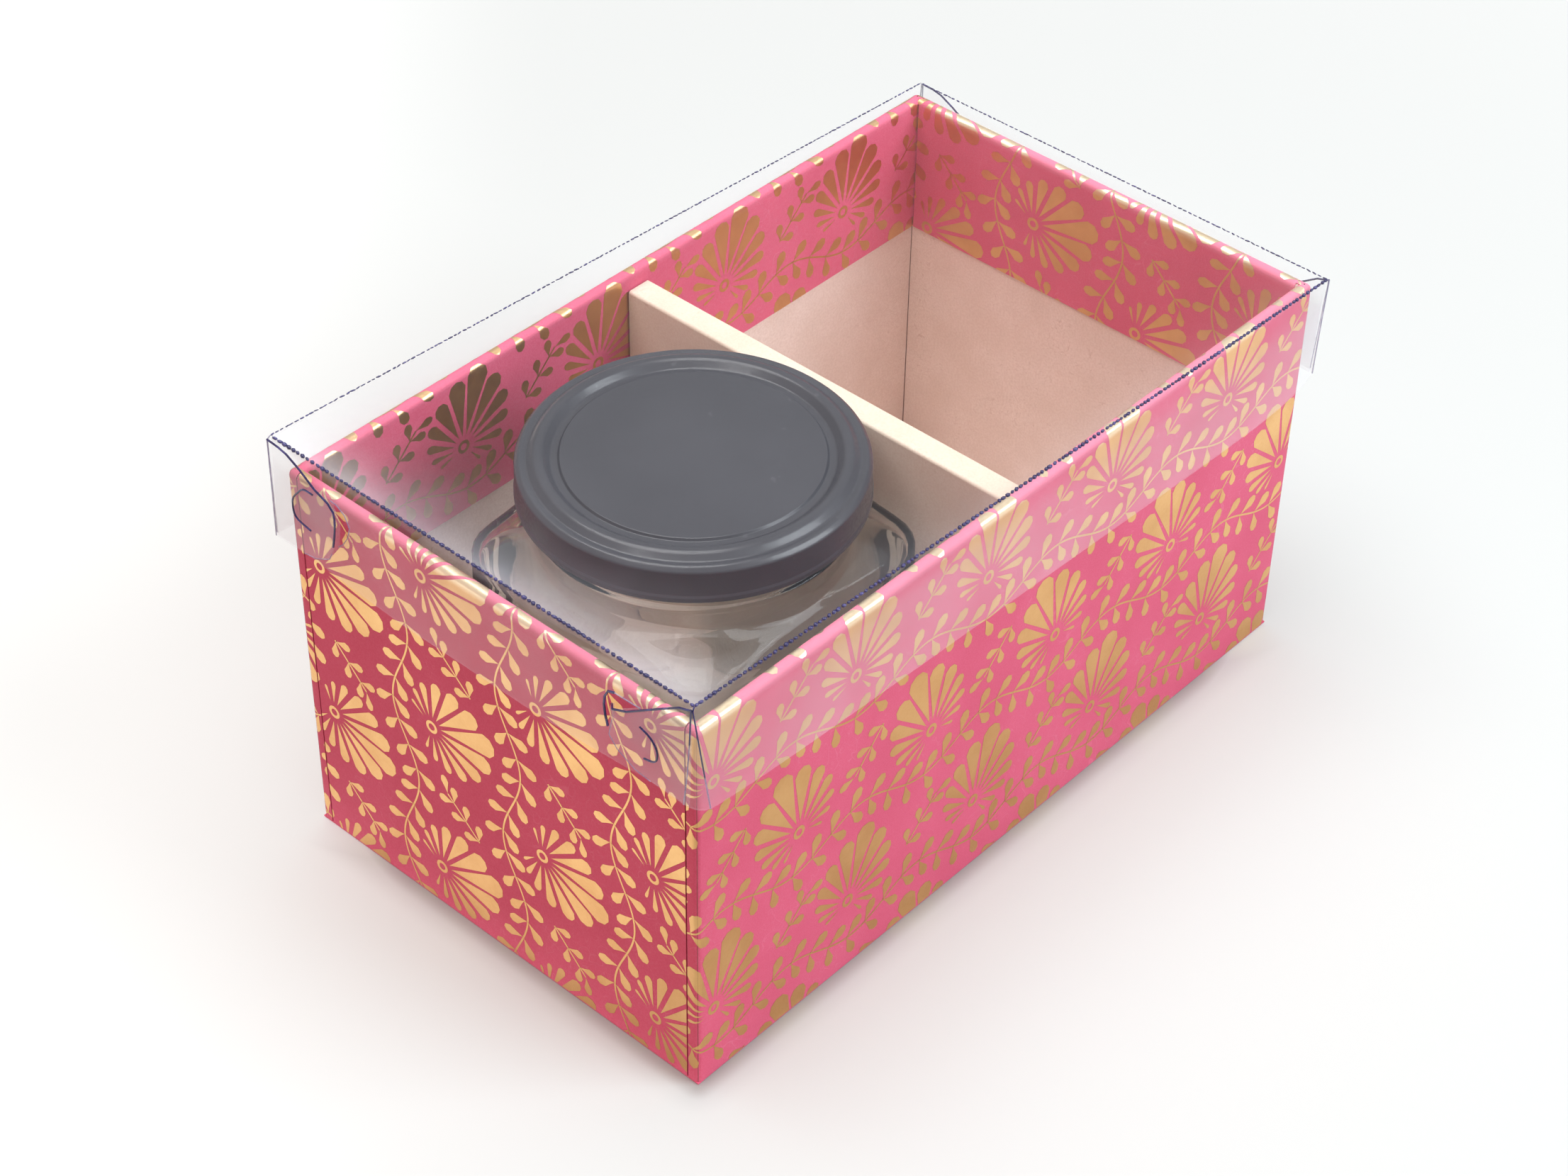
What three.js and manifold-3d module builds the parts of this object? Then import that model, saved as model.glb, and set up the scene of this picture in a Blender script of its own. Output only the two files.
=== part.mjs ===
// A covered board gift box with a card divider, a capped square glass jar and a clear folded lid.
// Millimetres, +Z up. The origin is at the middle of the underside, X runs along the length,
// the jar stands at the -X end and the front is the long side at -Y.
import * as THREE from 'three';
import { mergeVertices } from 'three/addons/utils/BufferGeometryUtils.js';
import Module from 'manifold-3d';

// Board, paper and tape
const BOARD = 2;
const PAPER = 0.3;
const TAPE = 0.2;
const TAPE_LEG = 18;
const GLUE = 0.05;
const BOX_HEIGHT = 100;
const RIM_ROUND = 1.3;
const TURN_IN_DEPTH = 36;

// Divider card, folded to an upside-down U
const DIVIDER_CARD = 1.2;
const DIVIDER_WIDTH = 6.5;
const DIVIDER_HEIGHT = 93.5;
const DIVIDER_END_GAP = 0.3;

// Free space round the jar and length of the open compartment
const JAR_SPACE_LEFT = 17.5;
const JAR_SPACE_RIGHT = 1.8;
const JAR_SPACE_FRONT = 15.2;
const JAR_SPACE_BACK = 20;
const OPEN_COMPARTMENT = 93;
const SEAT_GAP = 0.3;

// Glass jar
const JAR_WIDTH = 75;
const JAR_CORNER = 16;
const JAR_WALL = 3;
const JAR_FLOOR = 5;
const JAR_BASE_ROUND = 4;
const JAR_BODY_HEIGHT = 77;
const JAR_SHOULDER_HEIGHT = 11;
const JAR_NECK_HEIGHT = 11.4;
const NECK_INSET = 4.1;
const NECK_WALL = 3;
const LIP_ROUND = 1;
const THREAD_DEPTH = 1.8;
const THREAD_HEIGHT = 1.4;
const THREAD_ARC = THREE.MathUtils.degToRad(50);

// Pressed metal cap; heights are below the top of its ridge
const CAP_SHEET = 0.5;
const CAP_FIT = 1.2;
const CAP_HEIGHT = 10;
const CAP_PANEL_DROP = 0.9;
const CAP_MOAT_DROP = 0.3;
const CAP_MOAT_WIDTH = 1.7;
const CAP_RIDGE_WIDTH = 1.2;
const CAP_SHOULDER_DROP = 1.3;
const CAP_SHOULDER_ROUND = 1.8;
const CAP_CURL = 0.5;
const LUG_COUNT = 4;
const LUG_ARC = THREE.MathUtils.degToRad(14);
const LUG_GAP = 0.4;
const LINER_HEIGHT = 1.5;

// Clear lid, folded from one sheet
const LID_SHEET = 0.4;
const LID_END_GAP = 1.9;
const LID_SIDE_GAP = 1.2;
const SKIRT_DEPTH = 25;
const FOLD_GAP = 0.3;
const TONGUE_REACH = 22;
const TONGUE_SLOPE = 14;
const TONGUE_TIP = 5.5;
const TONGUE_TOP_GAP = 0.8;
const TONGUE_FOOT_GAP = 1;
const TONGUE_LIP = 1.8;
const SLIT_LENGTH = 9;
const SLIT_CLEARANCE = 0.5;

// Facets of round shapes
const ROUND_STEPS = 48;
const ARC_STEPS = 6;
const SAME_POINT = 1e-4;

// Corners as [name, side in X, side in Y]
const CORNERS = [['front_left', -1, -1], ['front_right', 1, -1], ['back_right', 1, 1], ['back_left', -1, 1]];

// Sizes that follow from the driving dimensions
const boardToPaper = GLUE + TAPE + GLUE;
const rimWidth = PAPER + boardToPaper + BOARD + GLUE + PAPER;
const jarCompartment = JAR_SPACE_LEFT + JAR_WIDTH + JAR_SPACE_RIGHT;
const boxLength = 2 * rimWidth + jarCompartment + DIVIDER_WIDTH + OPEN_COMPARTMENT;
const boxWidth = 2 * rimWidth + JAR_SPACE_FRONT + JAR_WIDTH + JAR_SPACE_BACK;
const halfLength = boxLength / 2;
const halfWidth = boxWidth / 2;
const boardOut = PAPER + boardToPaper;
const boardIn = boardOut + BOARD;
const boardBottom = PAPER + GLUE;
const boardTop = BOX_HEIGHT - PAPER - GLUE;
const boardRound = RIM_ROUND - PAPER - GLUE;
const floorTop = boardBottom + BOARD;
const jarX = -halfLength + rimWidth + JAR_SPACE_LEFT + JAR_WIDTH / 2;
const jarY = -halfWidth + rimWidth + JAR_SPACE_FRONT + JAR_WIDTH / 2;
const jarBottom = floorTop + SEAT_GAP;
const jarHeight = JAR_BODY_HEIGHT + JAR_SHOULDER_HEIGHT + JAR_NECK_HEIGHT;
const dividerX = jarX + JAR_WIDTH / 2 + JAR_SPACE_RIGHT + DIVIDER_WIDTH / 2;

// Cap sizes: the skirt passes over the thread, the ridge holds the liner above the lip of the jar
const neckRadius = JAR_WIDTH / 2 - NECK_INSET;
const capSkirtRadius = neckRadius + THREAD_DEPTH + CAP_FIT + CAP_SHEET;
const ridgeInner = neckRadius - NECK_WALL / 2 - CAP_RIDGE_WIDTH / 2;
const ridgeOuter = ridgeInner + CAP_RIDGE_WIDTH;
const capPanelRadius = ridgeInner - 2 * CAP_MOAT_WIDTH;
const lipDrop = CAP_SHEET + SEAT_GAP + LINER_HEIGHT + SEAT_GAP;
const capTop = jarBottom + jarHeight + lipDrop;
const lugTop = -CAP_HEIGHT + THREAD_HEIGHT;

// The lid lies on the cap's ridge and on the right-hand rim, or flat on the rim under a low cap
const rimContactX = halfLength - rimWidth / 2;
const lidTilt = Math.atan2(Math.max(capTop - BOX_HEIGHT, 0), rimContactX - jarX - ridgeOuter);
const skirtSwing = SKIRT_DEPTH * Math.sin(lidTilt);
const lidHalfLength = (boxLength + skirtSwing) / 2 + LID_END_GAP;
const lidHalfWidth = halfWidth + LID_SIDE_GAP;
const lidX = skirtSwing / 2;
const lidZ = BOX_HEIGHT + (rimContactX - lidX) * Math.tan(lidTilt) + SEAT_GAP;
const tongueFace = lidHalfLength + LID_SHEET + FOLD_GAP + LID_SHEET;

// Materials
const board = new THREE.MeshStandardMaterial({ color: '#d6bfae', roughness: 0.9, metalness: 0 });
const tape = new THREE.MeshStandardMaterial({ color: '#b08d66', roughness: 0.85, metalness: 0 });
const paper = new THREE.MeshStandardMaterial({ color: '#e0568a', roughness: 0.65, metalness: 0 });
const card = new THREE.MeshStandardMaterial({ color: '#f1e4d2', roughness: 0.85, metalness: 0 });
const glass = new THREE.MeshStandardMaterial({
  color: '#dfe3df', roughness: 0.05, metalness: 0, transparent: true, opacity: 0.35,
});
const lacquer = new THREE.MeshStandardMaterial({ color: '#5b5d63', roughness: 0.35, metalness: 0.3 });
const compound = new THREE.MeshStandardMaterial({ color: '#e8e4da', roughness: 0.6, metalness: 0 });
const clearSheet = new THREE.MeshStandardMaterial({
  color: '#eceaf0', roughness: 0.08, metalness: 0, transparent: true, opacity: 0.25,
});

const wasm = await Module();
wasm.setup();

// A closed geometry as a solid for joining and cutting
function solidOf(geometry) {
  const bare = geometry.clone();
  bare.deleteAttribute('normal');
  bare.deleteAttribute('uv');
  const merged = mergeVertices(bare, SAME_POINT);
  return new wasm.Manifold(new wasm.Mesh({
    numProp: 3,
    vertProperties: new Float32Array(merged.attributes.position.array),
    triVerts: new Uint32Array(merged.index.array),
  }));
}

// A solid back as a geometry with flat facets
function geometryOf(solid) {
  const mesh = solid.getMesh();
  const geometry = new THREE.BufferGeometry();
  geometry.setAttribute('position', new THREE.BufferAttribute(new Float32Array(mesh.vertProperties), 3));
  geometry.setIndex(new THREE.BufferAttribute(new Uint32Array(mesh.triVerts), 1));
  geometry.computeVertexNormals();
  return geometry;
}

function piece(name, geometry, material) {
  const mesh = new THREE.Mesh(geometry, material);
  mesh.name = name;
  return mesh;
}

// A box from its low and high corners
function boxBetween(low, high) {
  const size = high.map((value, axis) => value - low[axis]);
  const geometry = new THREE.BoxGeometry(...size);
  geometry.translate(...low.map((value, axis) => value + size[axis] / 2));
  return geometry;
}

// A straight run of a section drawn in (distance in from the outside, height), set up along X
// with the outside facing -Y
function runAlongX(section, length, outsideY) {
  const geometry = new THREE.ExtrudeGeometry(section, {
    depth: length, bevelEnabled: false, curveSegments: ARC_STEPS,
  });
  geometry.rotateX(Math.PI / 2);
  geometry.rotateZ(Math.PI / 2);
  geometry.translate(-length / 2, outsideY, 0);
  return geometry;
}

// Turn a geometry made for the front to another side: quarter turns about Z
function turned(geometry, quarterTurns) {
  return geometry.clone().rotateZ(quarterTurns * Math.PI / 2);
}

// Carcass: floor and four walls; the long walls cover the ends of the short ones
function wallSection() {
  const section = new THREE.Shape();
  section.moveTo(0, boardBottom);
  section.lineTo(BOARD, boardBottom);
  section.lineTo(BOARD, boardTop - boardRound);
  section.absarc(BOARD - boardRound, boardTop - boardRound, boardRound, 0, Math.PI / 2);
  section.lineTo(boardRound, boardTop);
  section.absarc(boardRound, boardTop - boardRound, boardRound, Math.PI / 2, Math.PI);
  section.closePath();
  return section;
}

function carcass() {
  const longWall = runAlongX(wallSection(), boxLength - 2 * boardOut, -halfWidth + boardOut);
  const shortWall = runAlongX(wallSection(), boxWidth - 2 * boardIn - 2 * GLUE, -halfLength + boardOut);
  const reachX = halfLength - boardIn - GLUE;
  const reachY = halfWidth - boardIn - GLUE;
  return [
    piece('floor_board', boxBetween([-reachX, -reachY, boardBottom], [reachX, reachY, floorTop]), board),
    piece('front_wall_board', longWall, board),
    piece('back_wall_board', turned(longWall, 2), board),
    piece('left_wall_board', turned(shortWall, -1), board),
    piece('right_wall_board', turned(shortWall, 1), board),
  ];
}

// Corner tapes: an angle strip round the outside of each corner, under the paper
function cornerTapes() {
  const outX = halfLength - PAPER - GLUE;
  const outY = halfWidth - PAPER - GLUE;
  return CORNERS.map(([corner, sideX, sideY]) => {
    const strip = new THREE.Shape([
      [outX, outY],
      [outX - TAPE_LEG, outY],
      [outX - TAPE_LEG, outY - TAPE],
      [outX - TAPE, outY - TAPE],
      [outX - TAPE, outY - TAPE_LEG],
      [outX, outY - TAPE_LEG],
    ].map(([x, y]) => new THREE.Vector2(sideX * x, sideY * y)));
    const geometry = new THREE.ExtrudeGeometry(strip, {
      depth: boardTop - boardRound - boardBottom, bevelEnabled: false,
    });
    geometry.translate(0, 0, boardBottom);
    return piece(`${corner}_corner_tape`, geometry, tape);
  });
}

// Section of a side panel of the covering: up the outside, over the rim, down the inside
function coverSection() {
  const innerRound = RIM_ROUND - PAPER;
  const top = BOX_HEIGHT - RIM_ROUND;
  const hem = BOX_HEIGHT - TURN_IN_DEPTH;
  const section = new THREE.Shape();
  section.moveTo(0, boardBottom);
  section.lineTo(PAPER, boardBottom);
  section.lineTo(PAPER, top);
  section.absarc(RIM_ROUND, top, innerRound, Math.PI, Math.PI / 2, true);
  section.lineTo(rimWidth - RIM_ROUND, BOX_HEIGHT - PAPER);
  section.absarc(rimWidth - RIM_ROUND, top, innerRound, Math.PI / 2, 0, true);
  section.lineTo(rimWidth - PAPER, hem);
  section.lineTo(rimWidth, hem);
  section.lineTo(rimWidth, top);
  section.absarc(rimWidth - RIM_ROUND, top, RIM_ROUND, 0, Math.PI / 2);
  section.lineTo(RIM_ROUND, BOX_HEIGHT);
  section.absarc(RIM_ROUND, top, RIM_ROUND, Math.PI / 2, Math.PI);
  section.closePath();
  return section;
}

// The long sides' paper turns the corners and ends in a seam on the short ends, one rim width in.
// Inside, it is cut away where the short walls meet the long ones.
function longCover() {
  let cover = solidOf(runAlongX(coverSection(), boxLength, -halfWidth));
  [-1, 1].forEach((side) => {
    const returned = [side * halfLength, side * (halfLength - PAPER)].sort((a, b) => a - b);
    cover = cover.add(solidOf(boxBetween(
      [returned[0], -halfWidth, boardBottom],
      [returned[1], -halfWidth + rimWidth, BOX_HEIGHT - RIM_ROUND],
    )));
    const wallEnd = halfLength - boardIn - GLUE;
    const cut = [side * (halfLength - PAPER), side * wallEnd].sort((a, b) => a - b);
    cover = cover.subtract(solidOf(boxBetween(
      [cut[0], -halfWidth + boardOut + BOARD / 2, BOX_HEIGHT - TURN_IN_DEPTH - PAPER],
      [cut[1], -halfWidth + rimWidth + PAPER, BOX_HEIGHT - PAPER],
    )));
  });
  return geometryOf(cover);
}

function shortCover() {
  return runAlongX(coverSection(), boxWidth - 2 * (rimWidth + GLUE), -halfLength);
}

function covering() {
  const base = boxBetween([-halfLength, -halfWidth, 0], [halfLength, halfWidth, PAPER]);
  return [
    piece('base_cover_paper', base, paper),
    piece('front_cover_paper', longCover(), paper),
    piece('back_cover_paper', turned(longCover(), 2), paper),
    piece('left_cover_paper', turned(shortCover(), -1), paper),
    piece('right_cover_paper', turned(shortCover(), 1), paper),
  ];
}

// Divider: a folded card that stands across the box on the floor
function divider() {
  const low = floorTop + GLUE;
  const high = floorTop + DIVIDER_HEIGHT;
  const half = DIVIDER_WIDTH / 2;
  const fold = new THREE.Shape([
    [-half, low],
    [-half, high],
    [half, high],
    [half, low],
    [half - DIVIDER_CARD, low],
    [half - DIVIDER_CARD, high - DIVIDER_CARD],
    [DIVIDER_CARD - half, high - DIVIDER_CARD],
    [DIVIDER_CARD - half, low],
  ].map(([x, z]) => new THREE.Vector2(x, z)));
  const length = boxWidth - 2 * (rimWidth + DIVIDER_END_GAP);
  const geometry = new THREE.ExtrudeGeometry(fold, { depth: length, bevelEnabled: false });
  geometry.rotateX(Math.PI / 2);
  geometry.translate(dividerX, length / 2, 0);
  return piece('divider', geometry, card);
}

// Distance from the axis to a square with rounded corners, in the direction of an angle
function roundedSquareRadius(angle, halfSide, corner) {
  const quarter = Math.PI / 2;
  const folded = Math.abs(angle - quarter * Math.round(angle / quarter));
  const straight = halfSide - corner;
  if (Math.tan(folded) * halfSide <= straight) return halfSide / Math.cos(folded);
  const along = straight * (Math.cos(folded) + Math.sin(folded));
  return along + Math.sqrt(along * along - 2 * straight * straight + corner * corner);
}

// Jar profile from the middle of the underside, up the outside and down the inside, as
// [radius, height, how square]: the body is square and the neck is round
function jarProfile() {
  const half = JAR_WIDTH / 2;
  const neckFoot = JAR_BODY_HEIGHT + JAR_SHOULDER_HEIGHT;
  const points = [[0, 0, 1]];
  const arc = (centreRadius, centreHeight, round, from, to, square) => {
    for (let step = 0; step <= ARC_STEPS; step += 1) {
      const angle = from + (to - from) * step / ARC_STEPS;
      points.push([centreRadius + round * Math.cos(angle), centreHeight + round * Math.sin(angle), square]);
    }
  };
  const shoulder = (reach, neck, drop, up) => {
    for (let step = 0; step <= ARC_STEPS; step += 1) {
      const share = up ? step / ARC_STEPS : 1 - step / ARC_STEPS;
      const rise = Math.sin(share * Math.PI / 2);
      const radius = neck + (reach - neck) * Math.cos(share * Math.PI / 2);
      points.push([radius, JAR_BODY_HEIGHT - drop + rise * JAR_SHOULDER_HEIGHT, 1 - share]);
    }
  };
  arc(half - JAR_BASE_ROUND, JAR_BASE_ROUND, JAR_BASE_ROUND, -Math.PI / 2, 0, 1);
  shoulder(half, neckRadius, 0, true);
  arc(neckRadius - LIP_ROUND, jarHeight - LIP_ROUND, LIP_ROUND, 0, Math.PI / 2, 0);
  points.push([neckRadius - NECK_WALL, jarHeight, 0]);
  points.push([neckRadius - NECK_WALL, neckFoot - JAR_WALL / 2, 0]);
  shoulder(half - JAR_WALL, neckRadius - NECK_WALL, JAR_WALL, false);
  arc(half - JAR_WALL - JAR_BASE_ROUND, JAR_FLOOR + JAR_BASE_ROUND, JAR_BASE_ROUND, 0, -Math.PI / 2, 1);
  points.push([0, JAR_FLOOR, 1]);
  return points;
}

// A flat ring segment of given radii about Z, centred on an angle
function ringSegment(inner, outer, middle, arc, low, height) {
  const outline = new THREE.Shape();
  outline.absarc(0, 0, outer, middle - arc / 2, middle + arc / 2);
  outline.absarc(0, 0, inner, middle + arc / 2, middle - arc / 2, true);
  outline.closePath();
  const geometry = new THREE.ExtrudeGeometry(outline, {
    depth: height, bevelEnabled: false, curveSegments: ARC_STEPS,
  });
  geometry.translate(0, 0, low);
  return geometry;
}

function lathed(profile) {
  const geometry = new THREE.LatheGeometry(profile.map(([r, z]) => new THREE.Vector2(r, z)), ROUND_STEPS);
  geometry.rotateX(Math.PI / 2);
  return geometry;
}

// Turned on a lathe first, then the body's points are drawn out to the rounded square
function jarBody() {
  const profile = jarProfile();
  const geometry = lathed(profile);
  const position = geometry.attributes.position;
  for (let index = 0; index < position.count; index += 1) {
    const [radius, , square] = profile[index % profile.length];
    const angle = Math.atan2(position.getY(index), position.getX(index));
    const corner = Math.max(JAR_CORNER - (JAR_WIDTH / 2 - radius), 0);
    const drawn = radius + square * (roundedSquareRadius(angle, radius, corner) - radius);
    position.setX(index, drawn * Math.cos(angle));
    position.setY(index, drawn * Math.sin(angle));
  }
  const threadLow = jarHeight + lipDrop + lugTop + LUG_GAP;
  let body = solidOf(geometry);
  for (let start = 0; start < LUG_COUNT; start += 1) {
    const middle = start * 2 * Math.PI / LUG_COUNT;
    const inner = neckRadius - NECK_WALL / 2;
    const outer = neckRadius + THREAD_DEPTH;
    body = body.add(solidOf(ringSegment(inner, outer, middle, THREAD_ARC, threadLow, THREAD_HEIGHT)));
  }
  return body;
}

// The jar's glass in two pieces: its thick floor, and the wall that rises from it to the neck
function jarFloorBelow(top) {
  return solidOf(boxBetween([-JAR_WIDTH, -JAR_WIDTH, -JAR_FLOOR], [JAR_WIDTH, JAR_WIDTH, top]));
}

// Inside of the cap from the axis out and down, round the curl, and back up the outside
function capProfile() {
  const moat = -CAP_PANEL_DROP - CAP_MOAT_DROP;
  const shoulderEdge = capSkirtRadius - CAP_SHOULDER_ROUND;
  const outside = [
    [0, -CAP_PANEL_DROP],
    [capPanelRadius, -CAP_PANEL_DROP],
    [capPanelRadius + CAP_MOAT_DROP, moat],
    [capPanelRadius + CAP_MOAT_WIDTH, moat],
    [ridgeInner - CAP_SHEET, -CAP_SHEET / 2],
    [ridgeInner, 0],
    [ridgeOuter, 0],
    [ridgeOuter + CAP_SHEET, -CAP_SHEET / 2],
    [ridgeOuter + 2 * CAP_SHEET, -CAP_SHOULDER_DROP],
  ];
  for (let step = 0; step <= ARC_STEPS; step += 1) {
    const angle = Math.PI / 2 * (1 - step / ARC_STEPS);
    const drop = CAP_SHOULDER_DROP + CAP_SHOULDER_ROUND * (1 - Math.sin(angle));
    outside.push([shoulderEdge + CAP_SHOULDER_ROUND * Math.cos(angle), -drop]);
  }
  outside.push([capSkirtRadius, -CAP_HEIGHT + 2 * CAP_CURL]);
  const inside = outside.map(([radius, height], index) => {
    const before = outside[Math.max(index - 1, 0)];
    const after = outside[Math.min(index + 1, outside.length - 1)];
    const along = new THREE.Vector2(after[0] - before[0], after[1] - before[1]).normalize();
    return [Math.max(radius + along.y * CAP_SHEET, 0), height - along.x * CAP_SHEET];
  });
  const curl = [
    [capSkirtRadius + CAP_CURL, -CAP_HEIGHT + CAP_CURL * 3 / 2],
    [capSkirtRadius + CAP_CURL, -CAP_HEIGHT + CAP_CURL / 2],
    [capSkirtRadius, -CAP_HEIGHT],
    [capSkirtRadius - CAP_SHEET, -CAP_HEIGHT],
  ];
  return [...inside, ...curl.reverse(), ...outside.reverse()];
}

function capShell() {
  let shell = solidOf(lathed(capProfile()));
  for (let lug = 0; lug < LUG_COUNT; lug += 1) {
    const middle = lug * 2 * Math.PI / LUG_COUNT;
    const inner = neckRadius + LUG_GAP;
    const outer = capSkirtRadius - CAP_SHEET / 2;
    shell = shell.add(solidOf(ringSegment(inner, outer, middle, LUG_ARC, -CAP_HEIGHT, THREAD_HEIGHT)));
  }
  return geometryOf(shell);
}

// The liner fills the hollow under the ridge
function linerRing() {
  const high = -CAP_SHEET - SEAT_GAP;
  const low = high - LINER_HEIGHT;
  const corners = [[ridgeInner, low], [ridgeOuter, low], [ridgeOuter, high], [ridgeInner, high]];
  return lathed([...corners, corners[0]]);
}

function jar() {
  const group = new THREE.Group();
  group.position.set(jarX, jarY, 0);
  const body = jarBody();
  const base = piece('jar_base', geometryOf(body.intersect(jarFloorBelow(JAR_FLOOR))), glass);
  base.position.z = jarBottom;
  const wall = piece('jar_glass', geometryOf(body.subtract(jarFloorBelow(JAR_FLOOR + GLUE))), glass);
  wall.position.z = jarBottom;
  const cap = piece('jar_cap', capShell(), lacquer);
  cap.position.z = capTop;
  const liner = piece('cap_liner', linerRing(), compound);
  liner.position.z = capTop;
  group.add(base, wall, cap, liner);
  return group;
}

// A flat panel of lid sheet from an outline in (along, up), standing upright and facing -Y,
// with its outer face at the given distance
function uprightPanel(outline, outsideY) {
  const geometry = new THREE.ExtrudeGeometry(outline, {
    depth: LID_SHEET, bevelEnabled: false, curveSegments: ARC_STEPS,
  });
  geometry.rotateX(Math.PI / 2);
  geometry.translate(0, outsideY + LID_SHEET, 0);
  return geometry;
}

function outlineOf(points) {
  return new THREE.Shape(points.map(([along, up]) => new THREE.Vector2(along, up)));
}

function rectangle(halfWide, top, bottom) {
  return outlineOf([[-halfWide, bottom], [halfWide, bottom], [halfWide, top], [-halfWide, top]]);
}

const tongueTipTop = -TONGUE_SLOPE;
const tongueTipFoot = tongueTipTop - TONGUE_TIP;

// The slit that takes a tongue's tip, open above the tongue's sloping edge
function slitOutline(side) {
  const tip = lidHalfWidth + LID_SHEET - TONGUE_REACH;
  const far = tip - LID_SHEET - SLIT_CLEARANCE;
  const near = tip + LID_SHEET + SLIT_CLEARANCE;
  const high = tongueTipTop + TONGUE_TIP - SLIT_CLEARANCE;
  const low = tongueTipFoot - SLIT_CLEARANCE;
  const points = [[far, low], [near, low], [near, tongueTipTop], [far + SLIT_LENGTH, high], [far, high]];
  return outlineOf(points.map(([along, up]) => [side * along, up]));
}

function shortSkirt() {
  const outsideY = -lidHalfLength - LID_SHEET;
  const panel = uprightPanel(rectangle(lidHalfWidth - FOLD_GAP, -FOLD_GAP, -SKIRT_DEPTH), outsideY);
  const cuts = [-1, 1].map((side) => solidOf(uprightPanel(slitOutline(side), outsideY)));
  return geometryOf(cuts.reduce((rest, cut) => rest.subtract(cut), solidOf(panel)));
}

function longSkirt() {
  const panel = rectangle(lidHalfLength + LID_SHEET, -FOLD_GAP, -SKIRT_DEPTH);
  return uprightPanel(panel, -lidHalfWidth - LID_SHEET);
}

// A tongue in its own frame: the fold is the Z axis, the panel runs from it along `along` (+1 or -1)
// in Y on the inner side of `out` (+1 or -1) in X, and its tip turns in through the slit
function tongueGeometry(along, out) {
  const reach = along * TONGUE_REACH;
  const outline = new THREE.Shape();
  outline.moveTo(0, -TONGUE_TOP_GAP);
  outline.quadraticCurveTo(reach / 2, -TONGUE_SLOPE / 2, reach, tongueTipTop);
  outline.lineTo(reach, tongueTipFoot);
  outline.lineTo(0, -SKIRT_DEPTH + TONGUE_FOOT_GAP);
  outline.closePath();
  const panel = new THREE.ExtrudeGeometry(outline, {
    depth: LID_SHEET, bevelEnabled: false, curveSegments: ARC_STEPS,
  });
  panel.rotateX(Math.PI / 2);
  panel.rotateZ(Math.PI / 2);
  panel.translate(out > 0 ? -LID_SHEET : 0, 0, 0);
  const tip = [reach, reach - along * LID_SHEET];
  const depth = [0, -out * (LID_SHEET + TONGUE_LIP)];
  const lip = boxBetween(
    [Math.min(...depth), Math.min(...tip), tongueTipFoot],
    [Math.max(...depth), Math.max(...tip), tongueTipTop],
  );
  return geometryOf(solidOf(panel).add(solidOf(lip)));
}

function tongues() {
  return CORNERS.map(([corner, sideX, sideY]) => {
    const mesh = piece(`lid_${corner}_tongue`, tongueGeometry(-sideY, sideX), clearSheet);
    mesh.position.set(sideX * tongueFace, sideY * (lidHalfWidth + LID_SHEET), 0);
    return mesh;
  });
}

function lid() {
  const group = new THREE.Group();
  group.position.set(lidX, 0, lidZ);
  group.rotation.y = lidTilt;
  const reachX = lidHalfLength + LID_SHEET;
  const reachY = lidHalfWidth + LID_SHEET;
  group.add(
    piece('lid_top', boxBetween([-reachX, -reachY, 0], [reachX, reachY, LID_SHEET]), clearSheet),
    piece('lid_front_skirt', longSkirt(), clearSheet),
    piece('lid_back_skirt', turned(longSkirt(), 2), clearSheet),
    piece('lid_left_skirt', turned(shortSkirt(), -1), clearSheet),
    piece('lid_right_skirt', turned(shortSkirt(), 1), clearSheet),
    ...tongues(),
  );
  return group;
}

const hamperBox = new THREE.Group();
hamperBox.add(...carcass(), ...cornerTapes(), ...covering(), divider(), jar(), lid());

export default hamperBox;
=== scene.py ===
# %% [markdown]
# A hamper box: a board box covered with foil-printed paper, a card divider, a glass jar and a clear lid.
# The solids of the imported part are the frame. Every piece below is built where those solids say, in the
# same metres, and then dressed with a finish of its own.

# %% Load the frame
import math
import random
from collections import namedtuple

import bmesh
import bpy
from mathutils import Matrix, Vector


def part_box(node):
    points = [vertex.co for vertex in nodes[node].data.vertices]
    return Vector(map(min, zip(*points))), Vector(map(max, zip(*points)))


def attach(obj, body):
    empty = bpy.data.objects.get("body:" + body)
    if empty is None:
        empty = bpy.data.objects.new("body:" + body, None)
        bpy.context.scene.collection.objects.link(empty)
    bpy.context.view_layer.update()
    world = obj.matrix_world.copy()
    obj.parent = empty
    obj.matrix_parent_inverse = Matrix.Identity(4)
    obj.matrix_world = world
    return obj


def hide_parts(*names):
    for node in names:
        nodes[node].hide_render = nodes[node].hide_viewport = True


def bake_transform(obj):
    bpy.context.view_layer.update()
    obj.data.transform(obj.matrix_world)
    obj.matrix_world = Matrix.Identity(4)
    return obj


MM = 0.001
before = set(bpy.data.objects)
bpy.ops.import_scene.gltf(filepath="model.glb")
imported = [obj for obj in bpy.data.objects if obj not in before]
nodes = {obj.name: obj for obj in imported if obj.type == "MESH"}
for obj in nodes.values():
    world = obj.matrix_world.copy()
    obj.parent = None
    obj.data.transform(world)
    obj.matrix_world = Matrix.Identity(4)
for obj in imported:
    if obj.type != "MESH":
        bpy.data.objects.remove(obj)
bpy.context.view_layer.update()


# %% [markdown]
# Millimetres are easier to think in than metres, so each piece is drawn in millimetres and scaled once,
# when its mesh is handed over. The object itself stays at the origin, unturned, with its place in its
# mesh. A folded sheet is drawn without thickness, and gets it at the end, behind its outer face.

# %% Hand over a piece
QUARTER_TURN, UP = math.pi / 2, Vector((0, 0, 1))


def box_mm(node):
    low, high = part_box(node)
    return low / MM, high / MM


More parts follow.
